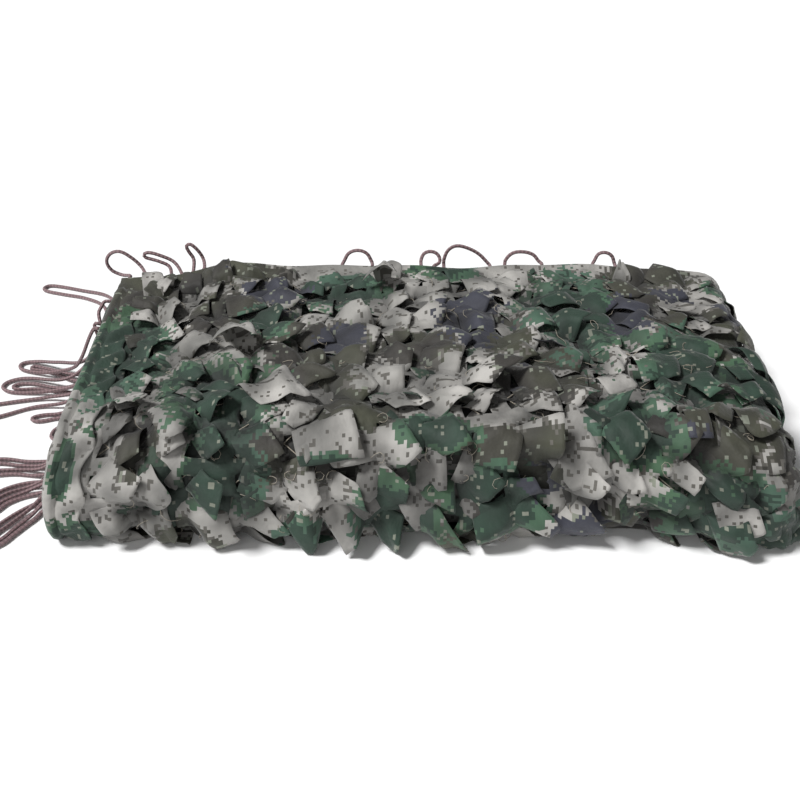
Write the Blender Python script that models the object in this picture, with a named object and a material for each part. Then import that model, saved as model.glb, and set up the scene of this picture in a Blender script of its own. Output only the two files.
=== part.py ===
"""A camouflage net, folded into a pack and laid on a flat surface.

The net is one sheet of leaf-cut garnish cloth. It is folded back and forth, and the
stack is folded once more at the front, so that its layers lie in nested turns. A sewn
binding runs down its left side and across its free hem, and braided ties come out of
the left end and of the hem as loops. X runs along the pack, Y from its front to its
back, and Z up from the surface that it lies on.
"""

import bisect
import math
import random

import bmesh
import bpy
from mathutils import Vector

# ---- the pack, in metres ----
PACK_LEFT = -0.329  # the left edge of the top layer, inside its binding
PACK_BACK = 0.207
PACK_DEPTH = 0.375  # without the slump of the front
STACK_HEIGHT = 0.131  # without the lifted leaves
TURNS = 7  # nested turns, each with one upper and one lower layer
NET_THICKNESS = 0.003  # cloth with its cord mesh
FRONT_BULGE = 0.052  # how far the outermost turn stands before its straight runs
INNERMOST_BULGE = 0.008
OUTER_SQUARENESS = 2.4  # exponent of the outermost bend, 2 is round
HEM_SETBACK = 0.044  # from the free hem of the top layer to the back of the pack
BACK_UNEVEN = 0.011  # the bends at the back end in three depths

# ---- the slump of the front ----
FRONT_SLUMP = 0.018  # how much further forward the front reaches at the floor
SLUMP_CURVE = 1.5  # exponent of the slump from the top down
SLUMP_BACK = 0.041  # y where the slump starts
SLUMP_LENGTH = 0.16
CORNER_REACH = 0.020  # how much further forward the two lower corners reach
CORNER_START = 0.20  # from the middle of the pack
CORNER_LENGTH = 0.15
WAVE_AT_TOP = 0.4  # how much of the front's waves shows at its top

# ---- the height of the pack ----
DOME = 0.05  # how much higher the middle of the pack stands, as a share
DOME_WAVE = (3.6, 5.0)  # radians a metre along X and along Y
DOME_LEVEL = 0.6  # the dome's own height that counts as nought
LEFT_DROP = (0.10, 0.10, 0.08)  # share of the height, where it starts, over what length
RIGHT_DROP = (0.06, 0.12, 0.10)
END_MARGIN = 0.02  # outside this the ends are as high as at it

# ---- unevenness. Each wave is height, radians a metre and phase ----
LEFT_EDGE_WAVES = ((0.007, 11.0, 0.0), (0.004, 29.0, 1.0))
RIGHT_EDGE_WAVES = ((0.007, 7.0, 2.0),)
FRONT_WAVES = ((0.005, 12.0, 2.2), (0.004, 27.0, 0.0))
EDGE_WAVES_START = 0.1  # length over which the left edge's waves set in below the top
EDGE_WAVES_REACH = 0.2  # and how far into the cloth they reach
# Each wave of the top is a share of the height, radians a metre along X and Y, and phase.
TOP_WAVES = (
    (0.010, 13.0, 9.0, 1.0),
    (0.010, 13.0, -9.0, 0.2),
    (0.012, 31.0, 14.0, 0.0),
    (0.010, -17.0, 22.0, 0.0),
)
GATHERED_BY = 0.625  # share of the outer floor run by which the cloth is gathered

# ---- the leaves that are cut in the cloth ----
LEAF_WIDTH = 0.039
LEAF_LENGTH = 0.036
STRIP = 0.007  # uncut cloth between two leaves
LEAF_COLUMNS = 14
LEAF_ROWS = 10
PLAIN_EDGE = 0.010  # uncut cloth beside the left binding and before the right shoulder
LEAF_THICKNESS_SHARE = 0.5
LEAF_SIDE_GAP = 0.0012
TIP_NARROWING = 0.006
LIFT_DEGREES = (9.0, 30.0)
CURL_DEGREES = (-24.0, 34.0)  # how much more the outer half of a leaf is lifted
TWIST_DEGREES = 5.0
ROW_SHIFT = 0.012  # the rows of leaves are set off to the left and right by this
SHIFT_FADE = 3  # columns at either side over which the set-off fades
SIDEWAYS_SHARE = 0.35  # leaves that hang from their left side, but not in the lowest rows
LOWEST_ROWS = 2

# ---- the right end, where the outer turn curls down over the stack ----
CURL_LENGTH = 0.052
CURL_RADIUS = 0.030
RIGHT_SETBACK = 0.030  # the inner layers end this much before the shoulder's edge
CURL_AT_FLOOR = 0.45  # how much of the curl is left at the floor
RIGHT_FLARE = 0.020  # how far the lower front corner on the right stands out
RIGHT_FLARE_LENGTH = 0.16
LEFT_FLARE = 0.010

# ---- the binding ----
BINDING_WIDTH = 0.034
SEAM_GAP = 0.0005

# ---- the border ties ----
CORD_DIAMETER = 0.0044
CORD_STEP = 3.0  # points along a cord, in diameters
CORD_GAP = 0.0009  # from a cord's end to the cloth that it comes out of

SEED = 7
FINE_STEP = 0.002  # for measuring directions on the cloth


def smooth(value):
    """A soft step from 0 to 1 as the value goes from 0 to 1."""
    value = min(1.0, max(0.0, value))
    return value * value * (3 - 2 * value)


def between(start, end, share):
    return start + (end - start) * share


def wave_sum(waves, along):
    return sum(height * math.sin(rate * along + phase) for height, rate, phase in waves)


def straight(start, end, steps=12):
    return [tuple(between(a, b, i / steps) for a, b in zip(start, end)) for i in range(steps + 1)]


class Fold:
    """The fold seen from its end, as a line from the free hem at the top back inwards."""

    def __init__(self):
        self.points = []  # (y, z)
        self.elements = {}  # (name, turn): (first point, last point)
        self.pitch = (STACK_HEIGHT - NET_THICKNESS) / (2 * TURNS - 1)
        self.bend_y = PACK_BACK - PACK_DEPTH + FRONT_BULGE
        for turn in range(TURNS):
            self.add_turn(turn)
        self.along = [0.0]
        for start, end in zip(self.points, self.points[1:]):
            self.along.append(self.along[-1] + math.dist(start, end))

    def level(self, turn, upper):
        low = NET_THICKNESS / 2 + turn * self.pitch
        return STACK_HEIGHT - low if upper else low

    def back_of(self, turn):
        """Where the run that leaves this turn ends, before its bend at the back."""
        return PACK_BACK - self.pitch / 2 - BACK_UNEVEN * ((turn * 2) % 3)

    def add(self, name, turn, points):
        first = max(0, len(self.points) - 1)
        self.points += points[1:] if self.points else points
        self.elements[name, turn] = (first, len(self.points) - 1)

    def add_turn(self, turn):
        downwards = turn % 2 == 0
        enter, leave = self.level(turn, downwards), self.level(turn, not downwards)
        start = PACK_BACK - HEM_SETBACK if turn == 0 else self.back_of(turn - 1)
        self.add("enter", turn, straight((start, enter), (self.bend_y, enter)))
        bend = self.front_bend(turn)
        self.add("front", turn, bend if downwards else bend[::-1])
        self.add("leave", turn, straight((self.bend_y, leave), (self.back_of(turn), leave)))
        if turn + 1 < TURNS:
            self.add("back", turn, self.back_bend(turn, not downwards))

    def front_bend(self, turn, steps=32):
        """The nested bend at the front, from its upper to its lower end."""
        share = turn / (TURNS - 1)
        high = (self.level(turn, True) - self.level(turn, False)) / 2
        deep = between(FRONT_BULGE, INNERMOST_BULGE, share)
        power = 2 / between(OUTER_SQUARENESS, 2, share)
        points = []
        for step in range(steps + 1):
            angle = math.pi * (0.5 - step / steps)
            sine, cosine = math.sin(angle), max(0.0, math.cos(angle))
            rise = math.copysign(abs(sine) ** power, sine) * high
            points.append((self.bend_y - deep * cosine**power, STACK_HEIGHT / 2 + rise))
        return points

    def back_bend(self, turn, upper, steps=8):
        """The small bend at the back that leads on to the next turn."""
        start, end = self.level(turn, upper), self.level(turn + 1, upper)
        middle, radius = (start + end) / 2, (start - end) / 2
        points = []
        for step in range(steps + 1):
            angle = math.pi * step / steps
            reach = abs(radius) * math.sin(angle)
            points.append((self.back_of(turn) + reach, middle + radius * math.cos(angle)))
        return points

    def span(self, name, turn):
        first, last = self.elements[name, turn]
        return self.along[first], self.along[last]

    def at(self, s):
        """(y, z) at this distance along the cloth; before 0 it goes straight on."""
        spot = min(max(bisect.bisect_right(self.along, s) - 1, 0), len(self.along) - 2)
        share = (s - self.along[spot]) / (self.along[spot + 1] - self.along[spot])
        (y0, z0), (y1, z1) = self.points[spot], self.points[spot + 1]
        return between(y0, y1, share), between(z0, z1, share)

    def along_at_y(self, name, turn, y):
        """The distance along the cloth at which a straight run passes this y."""
        start, end = self.span(name, turn)
        y0, y1 = self.at(start)[0], self.at(end)[0]
        return between(start, end, (y - y0) / (y1 - y0))


FOLD = Fold()
TOP_RUN_END = FOLD.span("enter", 0)[1]
FRONT_END = FOLD.span("front", 0)[1]
OUTER_END = FOLD.span("leave", 0)[1]
CELL_WIDTH = LEAF_WIDTH + STRIP
CELL_LENGTH = LEAF_LENGTH + STRIP
SHOULDER_U = 2 * PLAIN_EDGE + STRIP + LEAF_COLUMNS * CELL_WIDTH
CLOTH_WIDTH = SHOULDER_U + CURL_LENGTH
PACK_RIGHT = PACK_LEFT + SHOULDER_U + CURL_RADIUS


def outer_share(s):
    """1 on the top and front of the outer turn, falling to 0 along the floor."""
    return 1 - smooth((s - FRONT_END) / ((OUTER_END - FRONT_END) * GATHERED_BY))


def lower_share(s):
    """0 on the top, rising to 1 where the front meets the floor."""
    return smooth((s - TOP_RUN_END) / (FRONT_END - TOP_RUN_END))


def left_reach(s):
    """How far the left edge stands out at this point of the fold."""
    uneven = wave_sum(LEFT_EDGE_WAVES, s) * smooth((s - TOP_RUN_END) / EDGE_WAVES_START)
    low = 1 - FOLD.at(s)[1] / STACK_HEIGHT
    return uneven - LEFT_FLARE * low


def right_end(s):
    """How far right the inner layers reach at this point of the fold."""
    return PACK_RIGHT - RIGHT_SETBACK + wave_sum(RIGHT_EDGE_WAVES, s)


def place_x(u, s):
    """x before the right end curls down. The inner layers lie gathered."""
    start = PACK_LEFT + left_reach(s)
    if u < 0:
        return start + u
    outer = outer_share(s)
    reach = between(left_reach(s), 0, smooth(u / EDGE_WAVES_REACH))
    flat = PACK_LEFT + reach + min(u, SHOULDER_U)
    gathered = between(start, right_end(s), u / CLOTH_WIDTH)
    return between(gathered, flat, outer)


def end_drop(drop, inside):
    """The share by which the pack is lower at this distance inside one of its ends."""
    share, start, length = drop
    return share * smooth((start - inside) / length)


def height_scale(x, y):
    """The pack is domed, sinks towards its ends, and lies unevenly."""
    x = min(max(x, PACK_LEFT + END_MARGIN), PACK_RIGHT - END_MARGIN)
    dome = math.cos(DOME_WAVE[0] * x) * math.cos(DOME_WAVE[1] * y)
    scale = 1 + DOME * (dome - DOME_LEVEL)
    scale -= end_drop(LEFT_DROP, x - PACK_LEFT) + end_drop(RIGHT_DROP, PACK_RIGHT - x)
    for share, rate_x, rate_y, phase in TOP_WAVES:
        scale += share * math.sin(rate_x * x + rate_y * y + phase)
    return scale


def front_shift(x, y, z):
    """The front slumps towards the floor and waves along the pack."""
    x = min(max(x, PACK_LEFT + END_MARGIN), PACK_RIGHT)
    forward = smooth((SLUMP_BACK - y) / SLUMP_LENGTH)
    low = 1 - z / STACK_HEIGHT
    wave = wave_sum(FRONT_WAVES, x) * between(WAVE_AT_TOP, 1, low)
    corners = CORNER_REACH * smooth((abs(x) - CORNER_START) / CORNER_LENGTH)
    return -forward * (FRONT_SLUMP * low**SLUMP_CURVE + wave + corners * low)


def surface(u, s):
    """The point of the folded cloth that was at (u, s) when the cloth lay flat."""
    y, z = FOLD.at(s)
    x = place_x(u, s)
    outer, low = outer_share(s), lower_share(s)
    flare = smooth((u - SHOULDER_U + RIGHT_FLARE_LENGTH) / RIGHT_FLARE_LENGTH)
    x += RIGHT_FLARE * outer * low * flare
    over = max(0.0, u - SHOULDER_U) * outer
    if over > 0:
        turned = min(over / CURL_RADIUS, math.pi / 2) * between(1, CURL_AT_FLOOR, low)
        out = CURL_RADIUS * math.sin(turned)
        down = CURL_RADIUS * (1 - math.cos(turned)) + max(0, over - turned * CURL_RADIUS) * (1 - low)
        y0, z0 = FOLD.at(s - FINE_STEP / 2)
        y1, z1 = FOLD.at(s + FINE_STEP / 2)
        long = math.hypot(y1 - y0, z1 - z0)
        x, y, z = x + out, y - down * (z1 - z0) / long, z + down * (y1 - y0) / long
    raised = max(0.0, z - NET_THICKNESS / 2) * height_scale(x, y)
    return Vector((x, y + front_shift(x, y, z), NET_THICKNESS / 2 + raised))


def frame_at(u, s):
    """(direction along u, direction along s, outward normal) of the folded cloth."""
    along_u = (surface(u + FINE_STEP, s) - surface(u - FINE_STEP, s)).normalized()
    along_s = (surface(u, s + FINE_STEP) - surface(u, s - FINE_STEP)).normalized()
    return along_u, along_s, along_s.cross(along_u).normalized()


# ---- where the cloth is divided ----


def column_lines():
    """u of each column line. A leaf lies between two of them, a strip between the next."""
    lines = [0.0, PLAIN_EDGE + STRIP]
    for _ in range(LEAF_COLUMNS):
        lines += [lines[-1] + LEAF_WIDTH, lines[-1] + CELL_WIDTH]
    return lines + [SHOULDER_U, SHOULDER_U + CURL_LENGTH / 2, CLOTH_WIDTH]


def row_lines():
    """s of each row line, and how many of them belong to the leaf-cut rows."""
    lines = [0.0]
    for _ in range(LEAF_ROWS):
        start = lines[-1] + STRIP
        lines += [start, start + LEAF_LENGTH / 2, start + LEAF_LENGTH]
    cut = len(lines)
    lines += [lines[-1] + STRIP, FRONT_END, (FRONT_END + OUTER_END) / 2, OUTER_END]
    for (name, turn), _ in list(FOLD.elements.items())[3:]:
        first, last = FOLD.span(name, turn)
        steps = {"front": max(3, 6 - turn), "back": 3}.get(name, 3 if turn < 4 else 2)
        lines += [between(first, last, (i + 1) / steps) for i in range(steps)]
    return lines, cut


COLUMN_LINES = column_lines()
ROW_LINES, CUT_ROWS = row_lines()
LEAF_END_COLUMN = 2 * LEAF_COLUMNS
PLAIN_COLUMNS = {0, *range(1, LEAF_END_COLUMN, 5), len(COLUMN_LINES) - 3, len(COLUMN_LINES) - 1}


def row_shift(row):
    """The rows of leaves drift to the right and back again, so that leaves interlock."""
    return -ROW_SHIFT * math.cos(row // 3 * math.pi / 2)


def flat_place(column, row):
    """(u, s) of a grid point on the flat cloth."""
    u = COLUMN_LINES[column]
    if 1 <= column <= LEAF_END_COLUMN + 1 and row < CUT_ROWS:
        ends = smooth(column / SHIFT_FADE) * smooth((LEAF_END_COLUMN + 1 - column) / SHIFT_FADE)
        u += row_shift(row) * ends
    return u, ROW_LINES[row]


# ---- building ----


def new_material(name, colour, roughness):
    material = bpy.data.materials.new(name)
    material.use_nodes = True
    shader = material.node_tree.nodes["Principled BSDF"]
    shader.inputs["Base Color"].default_value = (*colour, 1.0)
    shader.inputs["Roughness"].default_value = roughness
    shader.inputs["Metallic"].default_value = 0.0
    return material


def new_object(name, data, material):
    obj = bpy.data.objects.new(name, data)
    bpy.context.scene.collection.objects.link(obj)
    data.materials.append(material)
    return obj


def mesh_object(name, mesh, material):
    data = bpy.data.meshes.new(name)
    mesh.to_mesh(data)
    mesh.free()
    return new_object(name, data, material)


def grid(column_count, row_count):
    """A flat grid whose points carry their column and row."""
    mesh = bmesh.new()
    bmesh.ops.create_grid(mesh, x_segments=column_count, y_segments=row_count, size=0.5)
    column = mesh.verts.layers.int.new("column")
    row = mesh.verts.layers.int.new("row")
    for vert in mesh.verts:
        vert[column] = round((vert.co.x + 0.5) * column_count)
        vert[row] = round((vert.co.y + 0.5) * row_count)
    return mesh, column, row


def solidify(obj):
    modifier = obj.modifiers.new("thickness", "SOLIDIFY")
    modifier.thickness = NET_THICKNESS
    modifier.offset = 0.0
    return modifier


def drop_fine_columns(mesh, column, row):
    """Past the leaf-cut rows the cloth is plain, so most of its column lines go."""
    edges = []
    for edge in mesh.edges:
        a, b = edge.verts
        if a[column] == b[column] and a[column] not in PLAIN_COLUMNS:
            if min(a[row], b[row]) >= CUT_ROWS:
                edges.append(edge)
    bmesh.ops.dissolve_edges(mesh, edges=edges, use_verts=True)


class Leaf:
    """One leaf: two faces between its column lines, cut free on three sides."""

    def __init__(self, cell, chance):
        self.column = 1 + 2 * cell[0]
        self.row = 1 + 3 * cell[1]
        self.sideways = chance.random() < SIDEWAYS_SHARE and cell[1] < LEAF_ROWS - LOWEST_ROWS
        self.faces = []
        self.lift = math.radians(chance.uniform(*LIFT_DEGREES))
        self.curl = math.radians(chance.uniform(*CURL_DEGREES))
        self.twist = math.radians(chance.uniform(-TWIST_DEGREES, TWIST_DEGREES))

    def hangs_from(self, edge, column, row):
        if self.sideways:
            return all(v[column] == self.column for v in edge.verts)
        return all(v[row] == self.row for v in edge.verts)

    def outline(self, column, row):
        """The edges that are cut."""
        edges = [edge for face in self.faces for edge in face.edges]
        rim = [edge for edge in edges if edges.count(edge) == 1]
        return [edge for edge in rim if not self.hangs_from(edge, column, row)]

    def place(self, across, out):
        """The point at a share from the left and right side, and from the uncut side."""
        reach = out * (LEAF_WIDTH if self.sideways else LEAF_LENGTH)
        wide = LEAF_LENGTH if self.sideways else LEAF_WIDTH
        u, s = flat_place(self.column, self.row)
        far_u, far_s = flat_place(self.column + 1, self.row + 2)
        if self.sideways:
            u, s = flat_place(self.column, self.row)[0], between(s, far_s, across)
        else:
            u = between(u, far_u, across)
        along_u, along_s, normal = frame_at(u, s)
        outwards, sidewards = (along_u, along_s) if self.sideways else (along_s, along_u)
        inner, outer = min(reach, LEAF_LENGTH / 2), max(0.0, reach - LEAF_LENGTH / 2)
        lift = self.lift + self.twist * (2 * across - 1)
        steep = lift + self.curl
        point = surface(u, s)
        point += outwards * (inner * math.cos(lift) + outer * math.cos(steep))
        point += normal * (inner * math.sin(lift) + outer * math.sin(steep))
        narrowing = LEAF_SIDE_GAP + TIP_NARROWING * out**3
        return point - sidewards * (across - 0.5) * 2 * min(narrowing, wide / 3)

    def lift_up(self, column, row, weights):
        verts = {vert for face in self.faces for vert in face.verts}
        for vert in verts:
            across, out = vert[column] - self.column, (vert[row] - self.row) / 2
            if self.sideways:
                across, out = out, across
            if out > 0:
                vert.co = self.place(across, out)
                vert.co.z = max(vert.co.z, NET_THICKNESS * LEAF_THICKNESS_SHARE)
                vert[weights][0] = LEAF_THICKNESS_SHARE


def find_leaves(mesh, column, row, chance):
    leaves = {}
    for j in range(LEAF_ROWS):
        for i in range(LEAF_COLUMNS):
            leaves[i, j] = Leaf((i, j), chance)
    for face in mesh.faces:
        first_column = min(v[column] for v in face.verts)
        first_row = min(v[row] for v in face.verts)
        cell = ((first_column - 1) // 2, (first_row - 1) // 3)
        in_leaf = first_column % 2 == 1 and (first_row - 1) % 3 < 2
        if in_leaf and first_row < CUT_ROWS and cell in leaves:
            leaves[cell].faces.append(face)
    return leaves.values()


def build_cloth(material):
    """The garnish cloth: one sheet with its leaves cut, folded into the pack."""
    chance = random.Random(SEED)
    mesh, column, row = grid(len(COLUMN_LINES) - 1, len(ROW_LINES) - 1)
    drop_fine_columns(mesh, column, row)
    leaves = find_leaves(mesh, column, row, chance)
    cuts = {edge for leaf in leaves for edge in leaf.outline(column, row)}
    bmesh.ops.split_edges(mesh, edges=sorted(cuts, key=lambda edge: edge.index))
    weights = mesh.verts.layers.deform.verify()
    for vert in mesh.verts:
        vert.co = surface(*flat_place(vert[column], vert[row]))
        vert[weights][0] = 1.0
    for leaf in leaves:
        leaf.lift_up(column, row, weights)
    obj = mesh_object("garnish_cloth", mesh, material)
    obj.vertex_groups.new(name="thickness")
    solidify(obj).vertex_group = "thickness"
    return obj


def build_side_binding(material):
    """The strip sewn down the left side, folded with the cloth."""
    mesh, column, row = grid(1, len(ROW_LINES) - 1)
    for vert in mesh.verts:
        u = -SEAM_GAP if vert[column] else -SEAM_GAP - BINDING_WIDTH
        vert.co = surface(u, ROW_LINES[vert[row]])
    obj = mesh_object("side_binding", mesh, material)
    solidify(obj)
    return obj


def build_hem_binding(material):
    """The strip sewn across the free hem, at the back of the top layer."""
    mesh, column, row = grid(len(COLUMN_LINES), 1)
    for vert in mesh.verts:
        s = -SEAM_GAP if vert[row] else -SEAM_GAP - BINDING_WIDTH
        u = -BINDING_WIDTH if vert[column] == 0 else flat_place(vert[column] - 1, 0)[0]
        vert.co = surface(u, s)
    obj = mesh_object("hem_binding", mesh, material)
    solidify(obj)
    return obj


# ---- the border ties ----
# Each row: name, where the tie leaves the pack, the points that it passes, and where it
# goes back in. A place at the left end is (run, turn, y), and one at the hem is (u,).
TIES = (
    (
        "tie_left_1",
        ("enter", 2, 0.112),
        ((-0.381, 0.115, 0.076), (-0.407, 0.132, 0.035), (-0.451, 0.163, 0.014),
         (-0.486, 0.181, 0.004), (-0.501, 0.177, 0.003), (-0.497, 0.164, 0.003),
         (-0.471, 0.153, 0.005), (-0.442, 0.142, 0.014), (-0.414, 0.125, 0.034)),
        ("enter", 2, 0.101),
    ),
    (
        "tie_left_2",
        ("leave", 3, 0.101),
        ((-0.385, 0.101, 0.066), (-0.407, 0.110, 0.034), (-0.438, 0.125, 0.012),
         (-0.485, 0.141, 0.004), (-0.504, 0.136, 0.003), (-0.510, 0.123, 0.003),
         (-0.499, 0.112, 0.003), (-0.478, 0.109, 0.003), (-0.440, 0.107, 0.008),
         (-0.407, 0.097, 0.026)),
        ("leave", 3, 0.087),
    ),
    (
        "tie_left_3",
        ("enter", 4, 0.083),
        ((-0.385, 0.083, 0.050), (-0.409, 0.089, 0.018), (-0.448, 0.096, 0.005),
         (-0.491, 0.088, 0.003), (-0.519, 0.078, 0.003), (-0.532, 0.067, 0.003),
         (-0.532, 0.054, 0.003), (-0.521, 0.048, 0.003), (-0.498, 0.056, 0.003),
         (-0.460, 0.077, 0.003), (-0.420, 0.078, 0.010), (-0.396, 0.073, 0.032)),
        ("enter", 4, 0.070),
    ),
    (
        "tie_left_4",
        ("leave", 5, 0.061),
        ((-0.387, 0.060, 0.058), (-0.397, 0.061, 0.030), (-0.410, 0.063, 0.010),
         (-0.427, 0.063, 0.003), (-0.445, 0.060, 0.003), (-0.456, 0.053, 0.003),
         (-0.448, 0.047, 0.003), (-0.428, 0.053, 0.003), (-0.410, 0.053, 0.008),
         (-0.397, 0.050, 0.026), (-0.387, 0.048, 0.056)),
        ("leave", 5, 0.047),
    ),
    (
        "tie_left_5",
        ("enter", 6, 0.034),
        ((-0.387, 0.034, 0.054), (-0.398, 0.036, 0.028), (-0.413, 0.036, 0.007),
         (-0.424, 0.027, 0.003), (-0.423, 0.013, 0.003), (-0.410, 0.005, 0.007),
         (-0.397, 0.004, 0.028), (-0.386, 0.004, 0.054)),
        ("enter", 6, 0.004),
    ),
    (
        "tie_left_6",
        ("enter", 5, 0.123),
        ((-0.388, 0.124, 0.036), (-0.404, 0.130, 0.018), (-0.430, 0.146, 0.007),
         (-0.449, 0.156, 0.005), (-0.470, 0.167, 0.003), (-0.484, 0.171, 0.003),
         (-0.485, 0.165, 0.003), (-0.467, 0.160, 0.003), (-0.447, 0.149, 0.004),
         (-0.428, 0.136, 0.005), (-0.405, 0.120, 0.014), (-0.389, 0.113, 0.032)),
        ("enter", 5, 0.111),
    ),
    (
        "tie_left_7",
        ("enter", 6, 0.102),
        ((-0.384, 0.102, 0.048), (-0.410, 0.108, 0.018), (-0.440, 0.119, 0.004),
         (-0.475, 0.130, 0.003), (-0.492, 0.129, 0.003), (-0.497, 0.122, 0.003),
         (-0.488, 0.117, 0.003), (-0.466, 0.118, 0.003), (-0.440, 0.112, 0.003),
         (-0.411, 0.100, 0.012)),
        ("enter", 6, 0.092),
    ),
    (
        "tie_side",
        ("enter", 2, 0.170),
        ((-0.384, 0.166, 0.094), (-0.388, 0.158, 0.086)),
        ("leave", 5, 0.148),
    ),
    (
        "tie_low_1",
        ("enter", 3, -0.050),
        ((-0.397, -0.047, 0.014), (-0.437, -0.034, 0.003), (-0.466, -0.029, 0.003),
         (-0.490, -0.033, 0.003), (-0.501, -0.045, 0.003), (-0.496, -0.056, 0.003),
         (-0.476, -0.060, 0.003), (-0.449, -0.057, 0.003), (-0.425, -0.060, 0.003),
         (-0.398, -0.067, 0.012)),
        ("enter", 3, -0.068),
    ),
    (
        "tie_low_2",
        ("leave", 2, -0.074),
        ((-0.396, -0.079, 0.009), (-0.428, -0.074, 0.003), (-0.451, -0.086, 0.003),
         (-0.468, -0.108, 0.003), (-0.472, -0.123, 0.003), (-0.462, -0.132, 0.003),
         (-0.450, -0.125, 0.003), (-0.440, -0.109, 0.003), (-0.420, -0.096, 0.003),
         (-0.394, -0.094, 0.009)),
        ("leave", 2, -0.090),
    ),
    (
        "tie_low_3",
        ("enter", 1, -0.099),
        ((-0.395, -0.105, 0.005), (-0.416, -0.116, 0.003), (-0.435, -0.139, 0.003),
         (-0.449, -0.164, 0.003), (-0.450, -0.177, 0.003), (-0.439, -0.184, 0.003),
         (-0.428, -0.177, 0.003), (-0.419, -0.161, 0.003), (-0.406, -0.139, 0.003),
         (-0.394, -0.121, 0.005)),
        ("enter", 1, -0.113),
    ),
    (
        "tie_low_4",
        ("leave", 4, -0.055),
        ((-0.397, -0.054, 0.024), (-0.418, -0.048, 0.008), (-0.447, -0.041, 0.003),
         (-0.468, -0.037, 0.003), (-0.484, -0.040, 0.003), (-0.488, -0.046, 0.003),
         (-0.479, -0.051, 0.003), (-0.462, -0.050, 0.003), (-0.440, -0.049, 0.003),
         (-0.418, -0.054, 0.008), (-0.397, -0.061, 0.024)),
        ("leave", 4, -0.063),
    ),
    (
        "tie_low_5",
        ("leave", 2, -0.099),
        ((-0.396, -0.104, 0.014), (-0.413, -0.122, 0.005), (-0.429, -0.146, 0.003),
         (-0.440, -0.165, 0.003), (-0.438, -0.174, 0.003), (-0.430, -0.169, 0.003),
         (-0.421, -0.151, 0.003), (-0.408, -0.131, 0.005), (-0.396, -0.117, 0.012)),
        ("leave", 2, -0.111),
    ),
    (
        "tie_low_6",
        ("enter", 3, -0.079),
        ((-0.397, -0.083, 0.018), (-0.424, -0.082, 0.004), (-0.445, -0.092, 0.003),
         (-0.459, -0.109, 0.003), (-0.462, -0.119, 0.003), (-0.456, -0.119, 0.003),
         (-0.445, -0.104, 0.003), (-0.424, -0.089, 0.004), (-0.396, -0.090, 0.018)),
        ("enter", 3, -0.087),
    ),
    (
        "tie_back_long",
        ("enter", 3, 0.177),
        ((-0.401, 0.181, 0.022), (-0.407, 0.197, 0.007), (-0.404, 0.232, 0.003),
         (-0.401, 0.277, 0.003), (-0.408, 0.327, 0.003), (-0.431, 0.361, 0.003),
         (-0.470, 0.377, 0.003), (-0.508, 0.390, 0.003), (-0.521, 0.389, 0.003),
         (-0.522, 0.378, 0.003), (-0.498, 0.367, 0.003), (-0.460, 0.354, 0.003),
         (-0.431, 0.333, 0.003), (-0.417, 0.297, 0.003), (-0.412, 0.252, 0.003),
         (-0.416, 0.212, 0.003), (-0.414, 0.182, 0.008), (-0.401, 0.165, 0.022)),
        ("enter", 3, 0.161),
    ),
    (
        "tie_corner",
        (-0.007,),
        ((-0.343, 0.219, 0.119), (-0.355, 0.221, 0.131), (-0.368, 0.221, 0.139),
         (-0.380, 0.221, 0.136), (-0.386, 0.221, 0.125), (-0.381, 0.220, 0.114),
         (-0.369, 0.219, 0.108)),
        (-0.026,),
    ),
    (
        "tie_stub",
        (0.038,),
        ((-0.302, 0.219, 0.126), (-0.318, 0.220, 0.134), (-0.331, 0.220, 0.138),
         (-0.3375, 0.220, 0.1365), (-0.3375, 0.220, 0.132), (-0.331, 0.220, 0.1295),
         (-0.319, 0.219, 0.126), (-0.308, 0.218, 0.120)),
        (0.025,),
    ),
    (
        "tie_hem_1",
        (0.067,),
        ((-0.265, 0.219, 0.130), (-0.2695, 0.220, 0.139), (-0.275, 0.220, 0.146),
         (-0.280, 0.220, 0.1495), (-0.2845, 0.220, 0.147), (-0.282, 0.220, 0.139),
         (-0.277, 0.219, 0.130)),
        (0.053,),
    ),
    (
        "tie_hem_2",
        (0.237,),
        ((-0.090, 0.208, 0.132), (-0.084, 0.210, 0.142), (-0.073, 0.210, 0.146),
         (-0.062, 0.210, 0.142), (-0.056, 0.208, 0.132)),
        (0.274,),
    ),
    (
        "tie_hem_3",
        (0.362,),
        ((0.033, 0.208, 0.134), (0.038, 0.210, 0.146), (0.048, 0.210, 0.152),
         (0.062, 0.210, 0.149), (0.076, 0.210, 0.141), (0.087, 0.208, 0.130)),
        (0.419,),
    ),
    (
        "tie_hem_4",
        (0.437,),
        ((0.109, 0.208, 0.134), (0.117, 0.210, 0.142), (0.130, 0.210, 0.144),
         (0.143, 0.210, 0.140), (0.150, 0.208, 0.132)),
        (0.482,),
    ),
    (
        "tie_hem_5",
        (0.545,),
        ((0.218, 0.208, 0.132), (0.223, 0.210, 0.141), (0.232, 0.210, 0.143),
         (0.240, 0.210, 0.138), (0.243, 0.208, 0.130)),
        (0.573,),
    ),
    (
        "tie_hem_6",
        (0.334,),
        ((0.005, 0.212, 0.132), (0.009, 0.216, 0.139), (0.018, 0.217, 0.141),
         (0.026, 0.216, 0.137), (0.028, 0.212, 0.129)),
        (0.350,),
    ),
)


def tie_end(place):
    """(the point at the edge of the binding, the direction that leads away from it)."""
    if len(place) == 1:
        edge = surface(place[0], -SEAM_GAP - BINDING_WIDTH)
        return edge, Vector((0, 1, 0))
    run, turn, y = place
    s = FOLD.along_at_y(run, turn, y)
    row = bisect.bisect_right(ROW_LINES, s) - 1
    first, last = ROW_LINES[row], ROW_LINES[row + 1]
    ends = [surface(-SEAM_GAP - BINDING_WIDTH, line) for line in (first, last)]
    return ends[0].lerp(ends[1], (s - first) / (last - first)), Vector((-1, 0, 0))


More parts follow.
